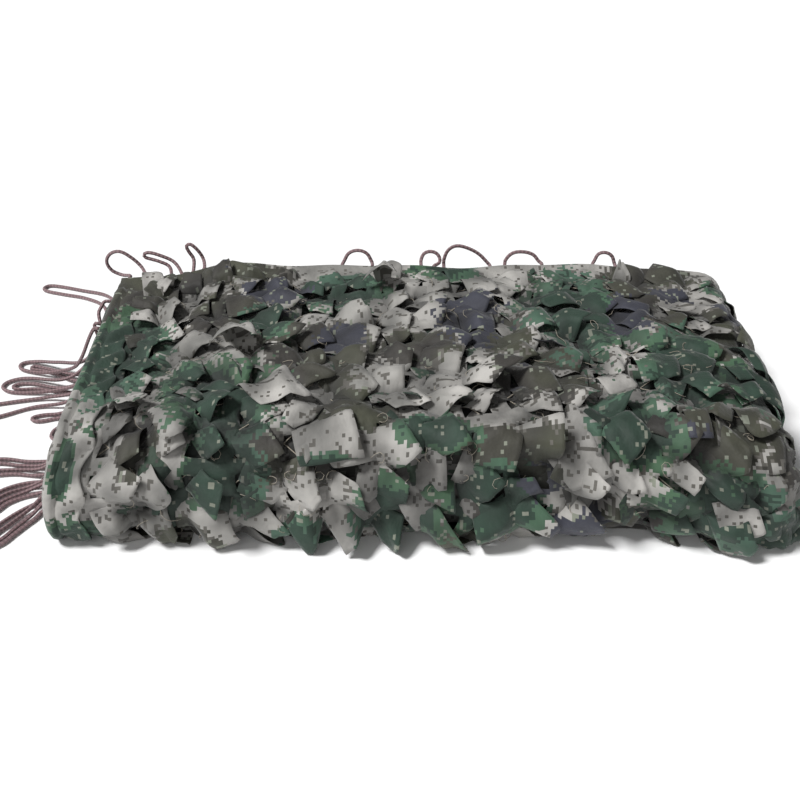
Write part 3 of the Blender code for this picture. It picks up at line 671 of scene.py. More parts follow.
def printed_cloth(name, sizes, colours, roughness):
    """Cloth printed with squares of camouflage, with its weave and fine wrinkles."""
    finish = Finish(name, roughness, CLOTH_SHEEN)
    flat = finish.flat_map()
    side = sizes.camouflage_square
    square = finish.vector("SNAP", flat, (side, side, 1.0))
    grain = finish.add("ShaderNodeTexWhiteNoise", {"noise_dimensions": "2D"}, {"Vector": square})
    low, high = REPEAT
    repeated = finish.vector("WRAP", square, (1.0, high, 1.0), (-1.0, low, -1.0))

    def claim(rows, clusters):
        """How strongly an ink claims a square: its shapes, and clusters along their edges."""
        seed, wide, fine = clusters
        moved = finish.vector("ADD", square, (seed, 2.0 * seed, 0.0))
        broad = finish.noise(moved, wide, 2.0)
        small = finish.noise(moved, fine, 1.0)
        broad_weight, small_weight, square_weight = CLUSTER_WEIGHTS
        near = shapes(finish, repeated, rows)
        return near + broad * broad_weight + small * small_weight + grain * square_weight

    def tinted(first, second, scale):
        """A colour that drifts between two of the print's inks."""
        drift = finish.noise(flat, scale, 1.0)
        drift = finish.add("ShaderNodeMapRange", {}, [drift, *DRIFT_SPAN, 0.0, 1.0])
        return finish.mix(drift, first, second)

    brown, green = claim(BROWN_SHAPES, BROWN_CLUSTERS), claim(GREEN_SHAPES, GREEN_CLUSTERS)
    slate = claim(SLATE_SHAPES, SLATE_CLUSTERS)
    colour = tinted(colours.pale, colours.pale_dull, PALE_DRIFT)
    colour = finish.mix(brown > TAUPE_FROM, colour, colours.taupe)
    browns = tinted(colours.brown, colours.olive, BROWN_DRIFT)
    colour = finish.mix(brown > BROWN_FROM, colour, browns)
    greens = tinted(colours.green, colours.green_blue, GREEN_DRIFT)
    colour = finish.mix(green > GREEN_FROM, colour, greens)
    colour = finish.mix(green > DARK_GREEN_FROM, colour, colours.green_dark)
    colour = finish.mix(slate > SLATE_FROM, colour, colours.slate)
    dark = (brown > BROWN_FROM).at_least(green > GREEN_FROM).at_least(slate > SLATE_FROM)
    noise_weight, square_weight = SPOT_WEIGHTS
    spots = finish.noise(finish.vector("ADD", square, SPOT_PLACE), SPOT_FINENESS, 0.0)
    spots = spots * noise_weight + grain * square_weight
    colour = finish.mix((spots > LIGHT_FROM) * dark, colour, colours.speck)
    colour = finish.mix((spots < TAUPE_UNDER) * (1 - dark), colour, colours.taupe)
    # Painted shade: the shade attribute darkens the hollows, the inside of the pack, the leaves'
    # roots and the layers below. The noise adds dirt and the shading of soft folds.
    shade = finish.add("ShaderNodeAttribute", {"attribute_name": "shade"}, output="Fac")
    dirt_and_shade = finish.noise(flat, DIRT_AND_SHADE_FINENESS, 2.0)
    shade = shade * finish.add("ShaderNodeMapRange", {}, [dirt_and_shade, *DIRT_AND_SHADE_SPAN])
    colour = finish.mix(shade, finish.mix(DIRT_AND_SHADE_DARKNESS, colour, (0.0, 0.0, 0.0)), colour)

    wrinkles = finish.noise(flat, *WRINKLES)
    across_u, across_s = finish.parts(finish.vector("MULTIPLY", flat, WEAVE_FINENESS))
    weave = across_u.sine() * across_s.sine()
    normal = finish.bump(weave, *WEAVE_BUMP, finish.bump(wrinkles, *WRINKLE_BUMP))
    return finish.finish(colour, normal, roughness + (wrinkles - 0.5) * WRINKLE_GLOSS)


BRAID_ROUGHNESS = 0.7
BRAID_PITCH = 2.2  # length of one turn of a strand, in diameters
BRAID_STRANDS = 2  # each way round the cord
STRAND_PAINTED_SHADE = 0.3  # painted shade: how much lighter the ridges of the strands are than the grooves between them
BRAID_LIGHT = 0.1
BRAID_PATCHES = 30.0  # a metre
BRAID_BUMP = (0.0005, 0.8)


def braid_material(sizes, colours):
    """Cord laid from strands. Its map runs once round the cord, and along it in metres."""
    finish = Finish("tie_braid", BRAID_ROUGHNESS, CORD_SHEEN)
    place = finish.flat_map()
    around, along = finish.parts(place)
    full_turn = 2 * math.pi
    pitch = sizes.cord_diameter * BRAID_PITCH
    right = (around * (full_turn * BRAID_STRANDS) + along * (full_turn / pitch)).sine()
    left = (around * (full_turn * BRAID_STRANDS) - along * (full_turn / pitch)).sine()
    strands = right * left
    patches = finish.noise(place, BRAID_PATCHES, 2.0)
    # Painted shade: the strands' ridges are lighter and the grooves between them darker, along the
    # same relief as the bump.
    factor = strands * STRAND_PAINTED_SHADE + patches + BRAID_LIGHT
    colour = finish.mix(factor, colours.tie_dark, colours.tie)
    return finish.finish(colour, finish.bump(strands, *BRAID_BUMP))


THREAD_ROUGHNESS = 0.6
THREAD_GRAIN = 700.0  # a metre
THREAD_DARK, THREAD_LIGHT = 0.4, 1.5  # shares of the thread's colour
THREAD_BUMP = (0.0003, 0.6)


def plain_thread(colours):
    """Thin twisted thread."""
    finish = Finish("backing_thread", THREAD_ROUGHNESS, CORD_SHEEN)
    place = finish.add("ShaderNodeTexCoord", output="Object")
    grain = finish.noise(place, THREAD_GRAIN, 2.0)
    dark, light = (
        tuple(channel * share for channel in colours.thread)
        for share in (THREAD_DARK, THREAD_LIGHT)
    )
    return finish.finish(finish.mix(grain, dark, light), finish.bump(grain, *THREAD_BUMP))


# ---- making objects ----


def new_object(name, mesh, material):
    """An object of this bmesh, at the origin and smooth."""
    data = bpy.data.meshes.new(name)
    mesh.to_mesh(data)
    mesh.free()
    data.materials.append(material)
    data.shade_smooth()
    obj = bpy.data.objects.new(name, data)
    bpy.context.scene.collection.objects.link(obj)
    return obj


def solidify(obj, thickness, offset):
    modifier = obj.modifiers.new("thickness", "SOLIDIFY")
    modifier.thickness = thickness
    modifier.offset = offset


def grid(mesh, columns, rows):
    """A flat grid in the mesh, as {point: (column, row)}."""
    made = bmesh.ops.create_grid(mesh, x_segments=columns, y_segments=rows, size=0.5)["verts"]
    return {
        vert: (round((vert.co.x + 0.5) * columns), round((vert.co.y + 0.5) * rows))
        for vert in made
    }


def faces_of(verts):
    return {face for vert in verts for face in vert.link_faces}


class Patch:
    """A grid in a bmesh, whose points carry their column, row and place on the flat cloth."""

    def __init__(self, mesh, columns, rows):
        maps, shades = mesh.loops.layers.uv, mesh.verts.layers.float
        self.flat = maps.get("flat") or maps.new("flat")
        self.shade = shades.get("shade") or shades.new("shade")
        self.columns = columns
        self.place = grid(mesh, columns, rows)

    def shape(self, rule):
        """Each point goes where the rule puts it: (position, place on the flat cloth, shade)."""
        maps = {}  # from each point to its place on the flat cloth
        for vert, place in self.place.items():
            vert.co, maps[vert], vert[self.shade] = rule(*place)
        for face in faces_of(self.place):
            for loop in face.loops:
                loop[self.flat].uv = maps[loop.vert]


# ---- the garnish cloth ----

PINCH_SHARE = 0.45  # of the crossings between four leaves
PINCH_REACH = 0.030
PINCH_DEPTH = 0.009
PINCH_PULL = 0.006
PINCH_CORE = 0.004  # nearer than this the pull fades
PINCH_FOLDS = 7
PINCH_FOLD_HEIGHT = 0.0024
PINCH_FOLD_START = 0.006  # from the middle of the pinch
PINCH_ASIDE = 0.004  # how far left of the holes' left edges the pinches lie
PINCH_ALONG = 0.003  # from the free hem to where their rows are counted from


class Pinches:
    """Where the cloth is tied down to its mesh, so that creases run out from it."""

    def __init__(self, chance):
        self.spots = {}
        for row in range(1, LEAF_ROWS):
            for column in range(1, LEAF_COLUMNS):
                if chance.random() < PINCH_SHARE:
                    u = FIRST_HOLE - PINCH_ASIDE + column * CELL_WIDTH
                    u += chance.uniform(-SCATTER, SCATTER)
                    s = PINCH_ALONG + row * CELL_LENGTH + chance.uniform(-SCATTER, SCATTER)
                    self.spots[column, row] = (u, s, chance.uniform(0, 2 * math.pi))

    def near(self, u, s):
        column = round((u - FIRST_HOLE) / CELL_WIDTH)
        row = round(s / CELL_LENGTH)
        for j in (row - 1, row, row + 1):
            for i in (column - 1, column, column + 1):
                if (i, j) in self.spots:
                    yield self.spots[i, j]

    def pull(self, u, s):
        """(u, s, out) after the pinches nearby have drawn the cloth in and down."""
        out, moved_u, moved_s = 0.0, u, s
        for spot_u, spot_s, turn in self.near(u, s):
            away = math.hypot(u - spot_u, s - spot_s)
            near = max(0.0, 1 - away / PINCH_REACH)
            if near <= 0:
                continue
            angle = math.atan2(s - spot_s, u - spot_u)
            pull = PINCH_PULL * near * near * min(1.0, away / PINCH_CORE) / max(away, TINY)
            moved_u += (spot_u - u) * pull
            moved_s += (spot_s - s) * pull
            out -= PINCH_DEPTH * near * near
            fold = PINCH_FOLD_HEIGHT * near * min(1.0, away / PINCH_FOLD_START)
            out += fold * math.sin(PINCH_FOLDS * angle + turn)
        return moved_u, moved_s, out


# How one leaf differs from the next: the least and the most, or what is drawn from. Angles
# are in radians, and shares are of the leaf's width or length.
LIFT_SHARES = (0.15, 0.65)  # of the greatest lift
CURLS = (-0.30, 0.20)  # how much more it rises at its tip than at its root
OUTLINES = (24.0, 40.0, 60.0)  # powers of the tip's outline: 2 is round, and more is sharper
POINTS = (0, 0, 0, 0, 0.20)  # by what share of the length the tip comes to a point
FREE_SIDES = (1, 1, 1, 1, -1, 0)  # the other side stays in the sheet, or with 0 neither does
SLANTS = (-0.24, 0.24)
ROOT_WIDTHS = (0.85, 1.15)
TIP_WIDTHS = (0.75, 1.05)
SKEWS = (-0.14, 0.14)
BEND_TURNS = (-0.8, 0.8)
BEND_SIDES = (-1, -1, 1)  # -1 arches upwards
BEND_RADII = (0.075, 0.300)
BEND_MIDDLES = (-0.30, 0.30)
TILTS = (-0.22, 0.22)
LEAF_CREASES = (-0.5, 0.5)
LEAF_CREASE_LEANS = (-0.9, 0.9)
LEAF_CREASE_HEIGHTS = (0, 0, 0.07, 0.11, -0.07, -0.10)
FOLD_SIDES = (-1, 0, 0, 0)  # the corner that is bent down, if any
FOLD_STARTS = (1.6, 2.2)
FOLD_SLOPES = (0.004, 0.009)
BASES = (0.0010, 0.0040)  # height above the sheet
LEAF_WAVES = (0.0002, 0.0009)
# A few leaves are hooded, and a few that aren't on the top are rolled up.
HOODED, ROLLED = 0.04, 0.10  # shares of the leaves
HOOD_LIFT, HOOD_CURL, HOOD_OUTLINE = 1.2, 2.4, 2.3
ROLL_LIFT, ROLL_CURLS = 0.5, (0.3, 0.7)
# The leaves on the top are flatter, and those that point to the front arch over.
TOP_EDGE = 0.01  # from the end of the top run
FLATTER_ON_TOP = 0.3
FRONT_LIFT, FRONT_LIFTS = 0.34, (0.6, 1.0)
FRONT_CURL, FRONT_CURLS = -0.70, (0.5, 1.1)
TOP_TILTS = (-0.05, 0.38)  # towards the front

TOP_LEAF_STEPS, SINGLE_LEAF_STEPS, INNER_LEAF_STEPS = 10, 12, 5  # across a leaf, and along it
ROOT_DISTANCE = 0.0215  # from the middle of a leaf back to its root
LEAST_U = 0.0015  # a leaf ends this near to the cloth's left edge
RISE_STEPS = 8
# Shares of the length from the root, at which these things are done.
FORMED = 0.45  # bends, creases and waves have set in
BASE_REACHED = 0.25
ROOT_HIDDEN = 0.12
LET_GO = 0.6  # the pinches nearby no longer draw the cloth in
LIGHTENED = 0.7  # the leaf no longer carries the sheet's painted shade
ROOT_DEPTH = 0.0008  # how deep the root starts in the sheet
MERGING = 1.1  # over this much of its 2 across, the side that stays leaves the sheet
MERGED_DEPTH, MERGED_SHARE = 0.0014, 0.3
DEEPEST_LEAF = 0.0016  # under the sheet
BOW_WIDTH = 0.6  # half of what a leaf arches over, in widths
TILT_RISE = 0.6  # a tilted leaf rises by this share of what its lower side would sink
LEAF_CREASE_REACH = 0.5
WAVES_ACROSS, WAVES_ALONG = 5, 4  # radians over half the width and over the length
PINCH_LOSS = 0.7  # how much less than the sheet a free leaf sinks at a pinch


class Leaf:
    """A tongue of cloth, cut on three sides, that lifts off the net from its root."""

    def __init__(self, u, s, turn, length, width, lift, chance, side=1,
                 reach=ROOT_DISTANCE, shade=1.0):
        self.turn = turn  # 0 hangs along the cloth, and a positive turn leans right
        self.length = length
        self.width = width
        self.side = side
        self.shade = shade
        back = reach / max(abs(math.sin(turn)), abs(math.cos(turn)))
        self.root_u = u - math.sin(turn) * back
        self.root_s = s - math.cos(turn) * back
        on_top = s < TOP_RUN_END - TOP_EDGE and side == 1
        towards_front = max(0.0, math.cos(turn)) if on_top else 0.0
        kind = chance.random()
        self.lift = lift * chance.uniform(*LIFT_SHARES) * (1 - FLATTER_ON_TOP * on_top)
        self.curl = chance.uniform(*CURLS)
        self.squareness = chance.choice(OUTLINES)
        self.point = chance.choice(POINTS)
        self.free_side = chance.choice(FREE_SIDES)
        if kind < HOODED:
            self.lift, self.curl, self.squareness = lift * HOOD_LIFT, -lift * HOOD_CURL, HOOD_OUTLINE
        elif kind > 1 - ROLLED and not on_top:
            self.lift, self.curl = lift * ROLL_LIFT, chance.uniform(*ROLL_CURLS)
        elif on_top:
            steep = FRONT_LIFT * chance.uniform(*FRONT_LIFTS)
            self.lift = between(self.lift, steep, towards_front)
            arched = FRONT_CURL * chance.uniform(*FRONT_CURLS)
            self.curl = between(self.curl, arched, towards_front)
        self.slant = chance.uniform(*SLANTS)
        self.root_width = chance.uniform(*ROOT_WIDTHS)
        self.tip_width = chance.uniform(*TIP_WIDTHS)
        self.skew = chance.uniform(*SKEWS)
        self.bend_turn = chance.uniform(*BEND_TURNS)
        self.bend = chance.choice(BEND_SIDES) / chance.uniform(*BEND_RADII)
        self.bend_middle = chance.uniform(*BEND_MIDDLES) * width
        self.tilt = chance.uniform(*TILTS)
        if on_top:
            self.tilt = chance.uniform(*TOP_TILTS) * math.sin(turn)
        self.crease = chance.uniform(*LEAF_CREASES)
        self.crease_lean = chance.uniform(*LEAF_CREASE_LEANS)
        self.crease_height = chance.choice(LEAF_CREASE_HEIGHTS) * width
        self.fold_side = chance.choice(FOLD_SIDES)
        self.fold_start = chance.uniform(*FOLD_STARTS)
        self.fold_slope = chance.uniform(*FOLD_SLOPES)
        self.base = chance.uniform(*BASES)
        self.wave = chance.uniform(*LEAF_WAVES)
        self.phase = chance.uniform(0, 2 * math.pi)
        self.print_shift = (0.0, 0.0)
        self.least_u = LEAST_U

    def rise(self, out):
        """(how far along the cloth, how high above it) at this share of the length."""
        along = high = 0.0
        for i in range(RISE_STEPS):
            angle = self.lift + self.curl * out * (i + 0.5) / RISE_STEPS
            along += math.cos(angle) * self.length * out / RISE_STEPS
            high += math.sin(angle) * self.length * out / RISE_STEPS
        return along, high

    def rounded(self, across, out):
        """The tip's corners are rounded."""
        tip = max(0.0, 2 * out - 1)
        far = max(abs(across), tip)
        if far < TINY or tip == 0:
            return across, out
        power = self.squareness
        shrink = 1 / ((abs(across) / far) ** power + (tip / far) ** power) ** (1 / power)
        return across * shrink, (1 + tip * shrink) / 2

    def bow(self, aside, reach):
        """How far the bend across the leaf and its tilt lift it at this place."""
        ahead = (reach - 0.5) * self.length
        off = aside * math.cos(self.bend_turn) + ahead * math.sin(self.bend_turn)
        half = self.width * BOW_WIDTH
        arch = half * half if self.bend < 0 else 0.0
        bow = self.bend / 2 * ((off - self.bend_middle) ** 2 - arch)
        bow += abs(self.tilt) * half * TILT_RISE
        return bow + self.tilt * aside

    def place(self, across, out):
        """(u, s, height, place on the flat cloth, how free of the sheet it is) at -1 to 1
        across and 0 to 1 along."""
        across, out = self.rounded(across, out)
        wide = between(self.root_width, self.tip_width, out)
        reach = out * (1 + self.slant * across * out + self.point * (1 - abs(across)) * out)
        along, high = self.rise(reach)
        aside = (across * wide / 2 + self.skew * out * out) * self.width
        formed = smooth(out / FORMED)
        high += self.bow(aside, reach) * formed
        off_crease = abs(across - self.crease - self.crease_lean * (out - 0.5))
        high += self.crease_height * max(0.0, 1 - off_crease / LEAF_CREASE_REACH) * formed
        if self.fold_side:
            high -= self.fold_slope * max(0.0, self.fold_side * across + 2 * out - self.fold_start)
        wave = math.sin(WAVES_ACROSS * across + WAVES_ALONG * out + self.phase)
        high += self.wave * wave * formed
        rooted = ROOT_DEPTH * (1 - smooth(out / ROOT_HIDDEN))
        high += self.base * smooth(out / BASE_REACHED) - rooted
        free = 1.0
        if self.free_side:
            free = smooth((across * self.free_side + 1) / MERGING)
            high = high * free - MERGED_DEPTH * (1 - smooth(free / MERGED_SHARE))
        sine, cosine = math.sin(self.turn), math.cos(self.turn)
        u = self.root_u + aside * cosine + along * sine
        s = self.root_s - aside * sine + along * cosine
        shift_u, shift_s = self.print_shift
        printed = (self.root_u + aside * cosine + reach * self.length * sine + shift_u,
                   self.root_s - aside * sine + reach * self.length * cosine + shift_s)
        return u, s, high, printed, free

    def build(self, mesh, steps, pinches=None):
        patch = Patch(mesh, steps, steps)

        def rule(column, row):
            across, out = 2 * column / steps - 1, row / steps
            u, s, high, printed, free = self.place(across, out)
            dip = 0.0
            if pinches:
                pulled_u, pulled_s, dip = pinches.pull(u, s)
                hold = 1 - smooth(out / LET_GO)
                u, s = between(u, pulled_u, hold), between(s, pulled_s, hold)
            u = max(u, self.least_u)
            free *= smooth(out / LIGHTENED)
            dip *= 1 - PINCH_LOSS * free
            wrinkled = between(crumple(u, s), crumple(self.root_u, self.root_s), free)
            # Painted shade: near its root a leaf is as dark as the sheet beside it, and its free part
            # is as light as the print.
            shade = self.shade * between(painted_sheet_shade(wrinkled + dip), 1.0, free)
            height = self.side * (max(high, -DEEPEST_LEAF) + dip) + wrinkled
            return lifted(u, s, height), printed, shade

        patch.shape(rule)


def spread(chance, choices):
    """One of the rows of (weight, low, high), and a value between its low and high."""
    pick = chance.uniform(0, sum(row[0] for row in choices))
    for weight, low, high in choices:
        pick -= weight
        if pick <= 0:
            return chance.uniform(low, high)
    return chance.uniform(*choices[-1][1:])


# How the leaves lean: weight, and the least and most turn in degrees.
LEANS = ((0.16, -20, 20), (0.64, 25, 60), (0.12, -60, -25), (0.08, 60, 110))


UNDER_BINDING = 0.005  # how far the sheet goes on under its bindings
UNDER_BINDING_DEPTH = 0.0016
HOLE_STEPS = 4
FIRST_HOLE_ROW = 0.008  # from the free hem to the first row of holes
CURL_STEP = 0.6  # of the curl's length
FLOOR_STEPS = 4  # from the last row of leaves to the end of the outer turn
# Rows on a bend at the front, one less for each turn inwards, on one at the back and on a run.
FRONT_STEPS, BACK_STEPS, RUN_STEPS = 16, 6, 8
OUTER_RUNS = 3  # the runs of the outer turn, which come first
# The cuts aren't quite straight. Each wave is height, radians a metre along the cut and
# across it, and phase.
WARP_ASIDE = ((0.006, 31.0, 7.0, 0.0), (0.003, 83.0, 0.0, 1.0))
WARP_DOWN = ((0.005, 27.0, 11.0, 0.0), (0.003, 71.0, 0.0, 0.0))
WARP_START = 0.03  # length over which the warp sets in from the edges

# The painted shade inside the pack: how far from its ends and back it starts, and the length over
# which it gets dark.
INSIDE_LEFT, INSIDE_RIGHT, ENDS_DARKENING = 0.02, 0.01, 0.04
INSIDE_BACK, BACK_DARKENING = 0.02, 0.03
INSIDE_DARKNESS = 0.9
KEPT_ONE_IN = 4  # of the column lines of the layers inside
KEPT_LEFT, KEPT_RIGHT = 4, 3  # column lines at the two ends that are all kept


def hole_lines(count, first, cell, hole):
    """Grid lines over the holes and the strips between them, and the index of each hole's."""
    lines, holes = [-UNDER_BINDING, 0.0], []
    for i in range(count):
        start = first + i * cell
        holes.append(len(lines))
        lines += [start + hole * step / HOLE_STEPS for step in range(HOLE_STEPS + 1)]
        lines += [between(start + hole, start + cell, share) for share in (1 / 3, 2 / 3)]
    return lines, holes


def painted_inner_shade(u, s):
    """Painted shade: the folded layers are dark inside the pack, and lighter at its ends and back."""
    inside = smooth((u - INSIDE_LEFT) / ENDS_DARKENING)
    inside *= smooth((CLOTH_WIDTH - INSIDE_RIGHT - u) / ENDS_DARKENING)
    inside *= smooth((PACK_BACK - INSIDE_BACK - FOLD.at(s)[0]) / BACK_DARKENING)
    return 1 - INSIDE_DARKNESS * inside


def thin_inner_columns(mesh, patch, first_row):
    """The layers inside keep a few column lines, and those near the cloth's ends."""
    last = patch.columns + 1
    kept = {*range(KEPT_LEFT), *range(last - KEPT_RIGHT, last), *range(0, last, KEPT_ONE_IN)}
    extra = []
    for edge in mesh.edges:
        (column, row), (other_column, other_row) = (patch.place[vert] for vert in edge.verts)
        if column == other_column and column not in kept and min(row, other_row) >= first_row:
            extra.append(edge)
    bmesh.ops.dissolve_edges(mesh, edges=extra, use_verts=True)


def sheet_rows():
    """The sheet's rows, the index of each hole's, and how many rows the leaves lie on."""
    rows, hole_rows = hole_lines(LEAF_ROWS, FIRST_HOLE_ROW, CELL_LENGTH, HOLE_LENGTH)
    cut_rows = len(rows)
    rows += [between(rows[-1], OUTER_END, (i + 1) / FLOOR_STEPS) for i in range(FLOOR_STEPS)]
    for name, turn in list(FOLD.elements)[OUTER_RUNS:]:
        first, last = FOLD.span(name, turn)
        steps = {"front": max(RUN_STEPS, FRONT_STEPS - turn), "back": BACK_STEPS}.get(name, RUN_STEPS)
        rows += [between(first, last, (i + 1) / steps) for i in range(steps)]
    return rows, hole_rows, cut_rows


def warp(u, s):
    """Where the grid's point at (u, s) lies on the flat cloth."""
    fade = smooth(u / WARP_START) * smooth((CLOTH_WIDTH - u) / WARP_START) * smooth(s / WARP_START)
    return u + ripples(WARP_ASIDE, s, u) * fade, s + ripples(WARP_DOWN, u, s) * fade


def build_garnish(sizes, colours):
    """One sheet: the strips between the cuts, and the leaves that hang from them."""
    chance = random.Random(sizes.seed)
    pinches = Pinches(chance)
    mesh = bmesh.new()
    columns, hole_columns = hole_lines(LEAF_COLUMNS, FIRST_HOLE, CELL_WIDTH, HOLE_WIDTH)
    columns += [SHOULDER_U + CURL_LENGTH * CURL_STEP, CLOTH_WIDTH]
    rows, hole_rows, cut_rows = sheet_rows()
    patch = Patch(mesh, len(columns) - 1, len(rows) - 1)

    def rule(column, row):
        u, s = columns[column], rows[row]
        if row < cut_rows:
            u, s = warp(u, s)
            moved_u, moved_s, out = pinches.pull(u, s)
            out += crumple(u, s)
            if min(columns[column], rows[row]) < 0:
                out = -UNDER_BINDING_DEPTH
            # Painted shade: the cut sheet is darker where it lies low.
            return lifted(moved_u, moved_s, out), (u, s), painted_sheet_shade(out)
        u = max(u, SEAM_GAP)
        # Painted shade: the layers inside the pack are painted dark.
        return lifted(u, s, 0.0), (u, s), painted_inner_shade(u, s)

    patch.shape(rule)
    cut_out = []
    for face in faces_of(patch.place):
        column = min(patch.place[vert][0] for vert in face.verts)
        row = min(patch.place[vert][1] for vert in face.verts)
        in_column = any(first <= column < first + HOLE_STEPS for first in hole_columns[:-2])
        in_row = any(first <= row < first + HOLE_STEPS for first in hole_rows)
        if in_column and in_row:
            cut_out.append(face)
    bmesh.ops.delete(mesh, geom=cut_out, context="FACES")
    thin_inner_columns(mesh, patch, cut_rows + FLOOR_STEPS)

    for leaf in top_leaves(sizes, chance):
        leaf.build(mesh, TOP_LEAF_STEPS, pinches)
    for leaf in single_leaves(chance):
        leaf.build(mesh, SINGLE_LEAF_STEPS)
    for leaf in inner_leaves(chance):
        leaf.build(mesh, INNER_LEAF_STEPS)
    material = printed_cloth("garnish_cloth", sizes, colours, GARNISH_ROUGHNESS)
    obj = new_object("garnish_net", mesh, material)
    solidify(obj, sizes.cloth_thickness, 0.0)
    return obj


LEAF_MIDDLE = 0.41  # where the middle of a leaf lies in its cell
LEAF_SIZES = (0.80, 1.25)  # in mean widths
LEAF_LENGTHS = (1.0, 1.3)  # in its own widths
HEM_LEAF_SHIFT = 0.010  # how far from the hem the leaves are that are turned back over it
HEM_LEAF_LIFT = 0.5
LEFT_LEAF_TURN = 1.2  # radians, the most that the leaves at the left edge lean
RIGHT_LEAF_TURNS = (-35, 30)  # degrees
RIGHT_LEAF_LIFT = 0.4


def top_leaves(sizes, chance):
    """The leaves of the outer turn."""
    leaves = []
    for row in range(-1, LEAF_ROWS):
        for column in range(LEAF_COLUMNS + 1):
            u = FIRST_HOLE + (column + LEAF_MIDDLE) * CELL_WIDTH
            u += chance.uniform(-SCATTER, SCATTER)
            s = FIRST_HOLE_ROW + (row + LEAF_MIDDLE) * CELL_LENGTH
            s += chance.uniform(-SCATTER, SCATTER)
            size = sizes.leaf_size * chance.uniform(*LEAF_SIZES)
            turn = math.radians(spread(chance, LEANS))
            lift = sizes.leaf_lift
            if row == -1:  # these are turned back over the hem
                turn += math.pi
                s += HEM_LEAF_SHIFT
                lift *= HEM_LEAF_LIFT
            if column == 0:
                turn = abs(turn) % LEFT_LEAF_TURN
            if column >= LEAF_COLUMNS - 1:  # these hang down at the right end
                turn = math.radians(chance.uniform(*RIGHT_LEAF_TURNS))
                lift *= RIGHT_LEAF_LIFT
            length = size * chance.uniform(*LEAF_LENGTHS)
            leaves.append(Leaf(u, s, turn, length, size, lift, chance))
    return leaves


# Each row: the middle on the cloth, the turn in degrees, the length, the width, the share
# of the width at the root and at the tip, the power of its outline (2 is round), the lift
# and the curl in degrees, the radius of the bend across it (0 is flat), the place whose
# print it carries, and how light it is.
SINGLE_LEAVES = (
    (0.135, 0.170, 10, 0.044, 0.054, 0.45, 1.00, 30, 34, -22, 0.024, 0.35, 0.25, 1.0),
    (0.290, 0.035, 5, 0.034, 0.040, 0.40, 1.00, 30, 34, -20, 0.018, 0.35, 0.25, 1.0),
    (0.235, 0.318, 15, 0.044, 0.064, 0.95, 1.00, 40, 18, -20, 0.400, 0.345, 0.28, 0.80),
    (0.310, 0.270, 30, 0.046, 0.040, 1.00, 0.95, 30, 16, -12, 0.200, 0.34, 0.25, 1.0),
    (0.175, 0.245, 35, 0.060, 0.056, 1.00, 0.90, 30, 12, -14, 0.160, 0.36, 0.24, 1.0),
    (0.690, 0.165, 20, 0.052, 0.036, 0.90, 0.50, 30, 22, -40, 0.050, 0.51, 0.09, 1.0),
    (0.600, 0.305, 0, 0.034, 0.034, 0.60, 0.70, 30, 10, -10, 0.060, 0.57, 0.04, 1.0),
    (0.576, -0.016, 172, 0.022, 0.024, 1.00, 0.30, 6, 34, 10, 0.060, 0.353, 0.268, 0.80),
    (0.298, -0.012, 182, 0.024, 0.026, 0.80, 0.90, 2.2, 28, 6, 0.300, 0.36, 0.25, 0.50),
    (0.635, 0.392, 15, 0.046, 0.044, 0.90, 0.90, 30, 10, -6, 0.200, 0.36, 0.26, 1.0),
    (0.485, 0.345, 35, 0.046, 0.048, 1.00, 0.90, 30, 10, -4, 0.500, 0.35, 0.25, 0.85),
    (0.600, 0.355, 60, 0.026, 0.022, 1.00, 0.90, 30, 30, -30, 0.040, 0.36, 0.26, 1.0),
    (0.640, 0.075, 50, 0.032, 0.030, 0.90, 0.90, 2.6, 16, -20, 0.060, 0.36, 0.24, 0.85),
    (0.648, 0.112, 40, 0.032, 0.034, 0.90, 0.90, 2.6, 16, -20, 0.060, 0.36, 0.26, 0.80),
    (0.668, 0.116, 80, 0.034, 0.026, 1.00, 0.30, 30, 8, -6, 0.200, 0.35, 0.25, 0.80),
    (0.724, 0.180, 8, 0.056, 0.046, 1.00, 0.90, 30, 0, 0, 0.300, 0.61, 0.20, 0.90),
    (0.015, 0.020, -120, 0.034, 0.030, 1.00, 0.90, 30, 18, -10, 0.100, 0.09, -0.01, 1.0),
    (0.010, -0.006, -160, 0.034, 0.032, 1.00, 0.80, 30, 24, -20, 0.060, 0.36, 0.26, 1.0),
    (0.030, 0.010, 150, 0.030, 0.026, 1.00, 0.80, 30, 26, -10, 0.080, 0.30, 0.25, 0.85),
    (0.012, 0.055, -95, 0.036, 0.030, 1.00, 0.80, 30, 16, -16, 0.080, 0.11, 0.08, 1.0),
    (0.008, 0.085, -70, 0.030, 0.028, 1.00, 0.70, 30, 18, -20, 0.060, 0.36, 0.26, 1.0),
    (0.062, -0.004, 170, 0.026, 0.030, 1.00, 0.80, 30, 20, 10, 0.200, 0.33, 0.17, 0.9),
    (0.095, -0.006, -170, 0.028, 0.026, 1.00, 0.60, 30, 24, -10, 0.100, 0.36, 0.17, 0.9),
)
SINGLE_LEAF_BASE = 0.006  # how far these leaves stand above the sheet


def single_leaves(chance):
    """The leaves that stand out by their size, form or print."""
    leaves = []
    for row in SINGLE_LEAVES:
        u, s, turn, length, width, root, tip, power, lift, curl, bend, print_u, print_s, light = row
        leaf = Leaf(u, s, math.radians(turn), length, width, 0.0, chance, shade=light)
        leaf.squareness = float(power)
        leaf.lift, leaf.curl = math.radians(lift), math.radians(curl)
        leaf.root_width, leaf.tip_width = root, tip
        leaf.bend = -1 / bend if bend else 0.0
        leaf.bend_turn = leaf.bend_middle = leaf.tilt = leaf.point = 0.0
        leaf.free_side = leaf.fold_side = 0
        leaf.base = SINGLE_LEAF_BASE
        leaf.print_shift = (print_u - u, print_s - s)
        leaf.least_u = -BINDING_WIDTH
        leaves.append(leaf)
    return leaves


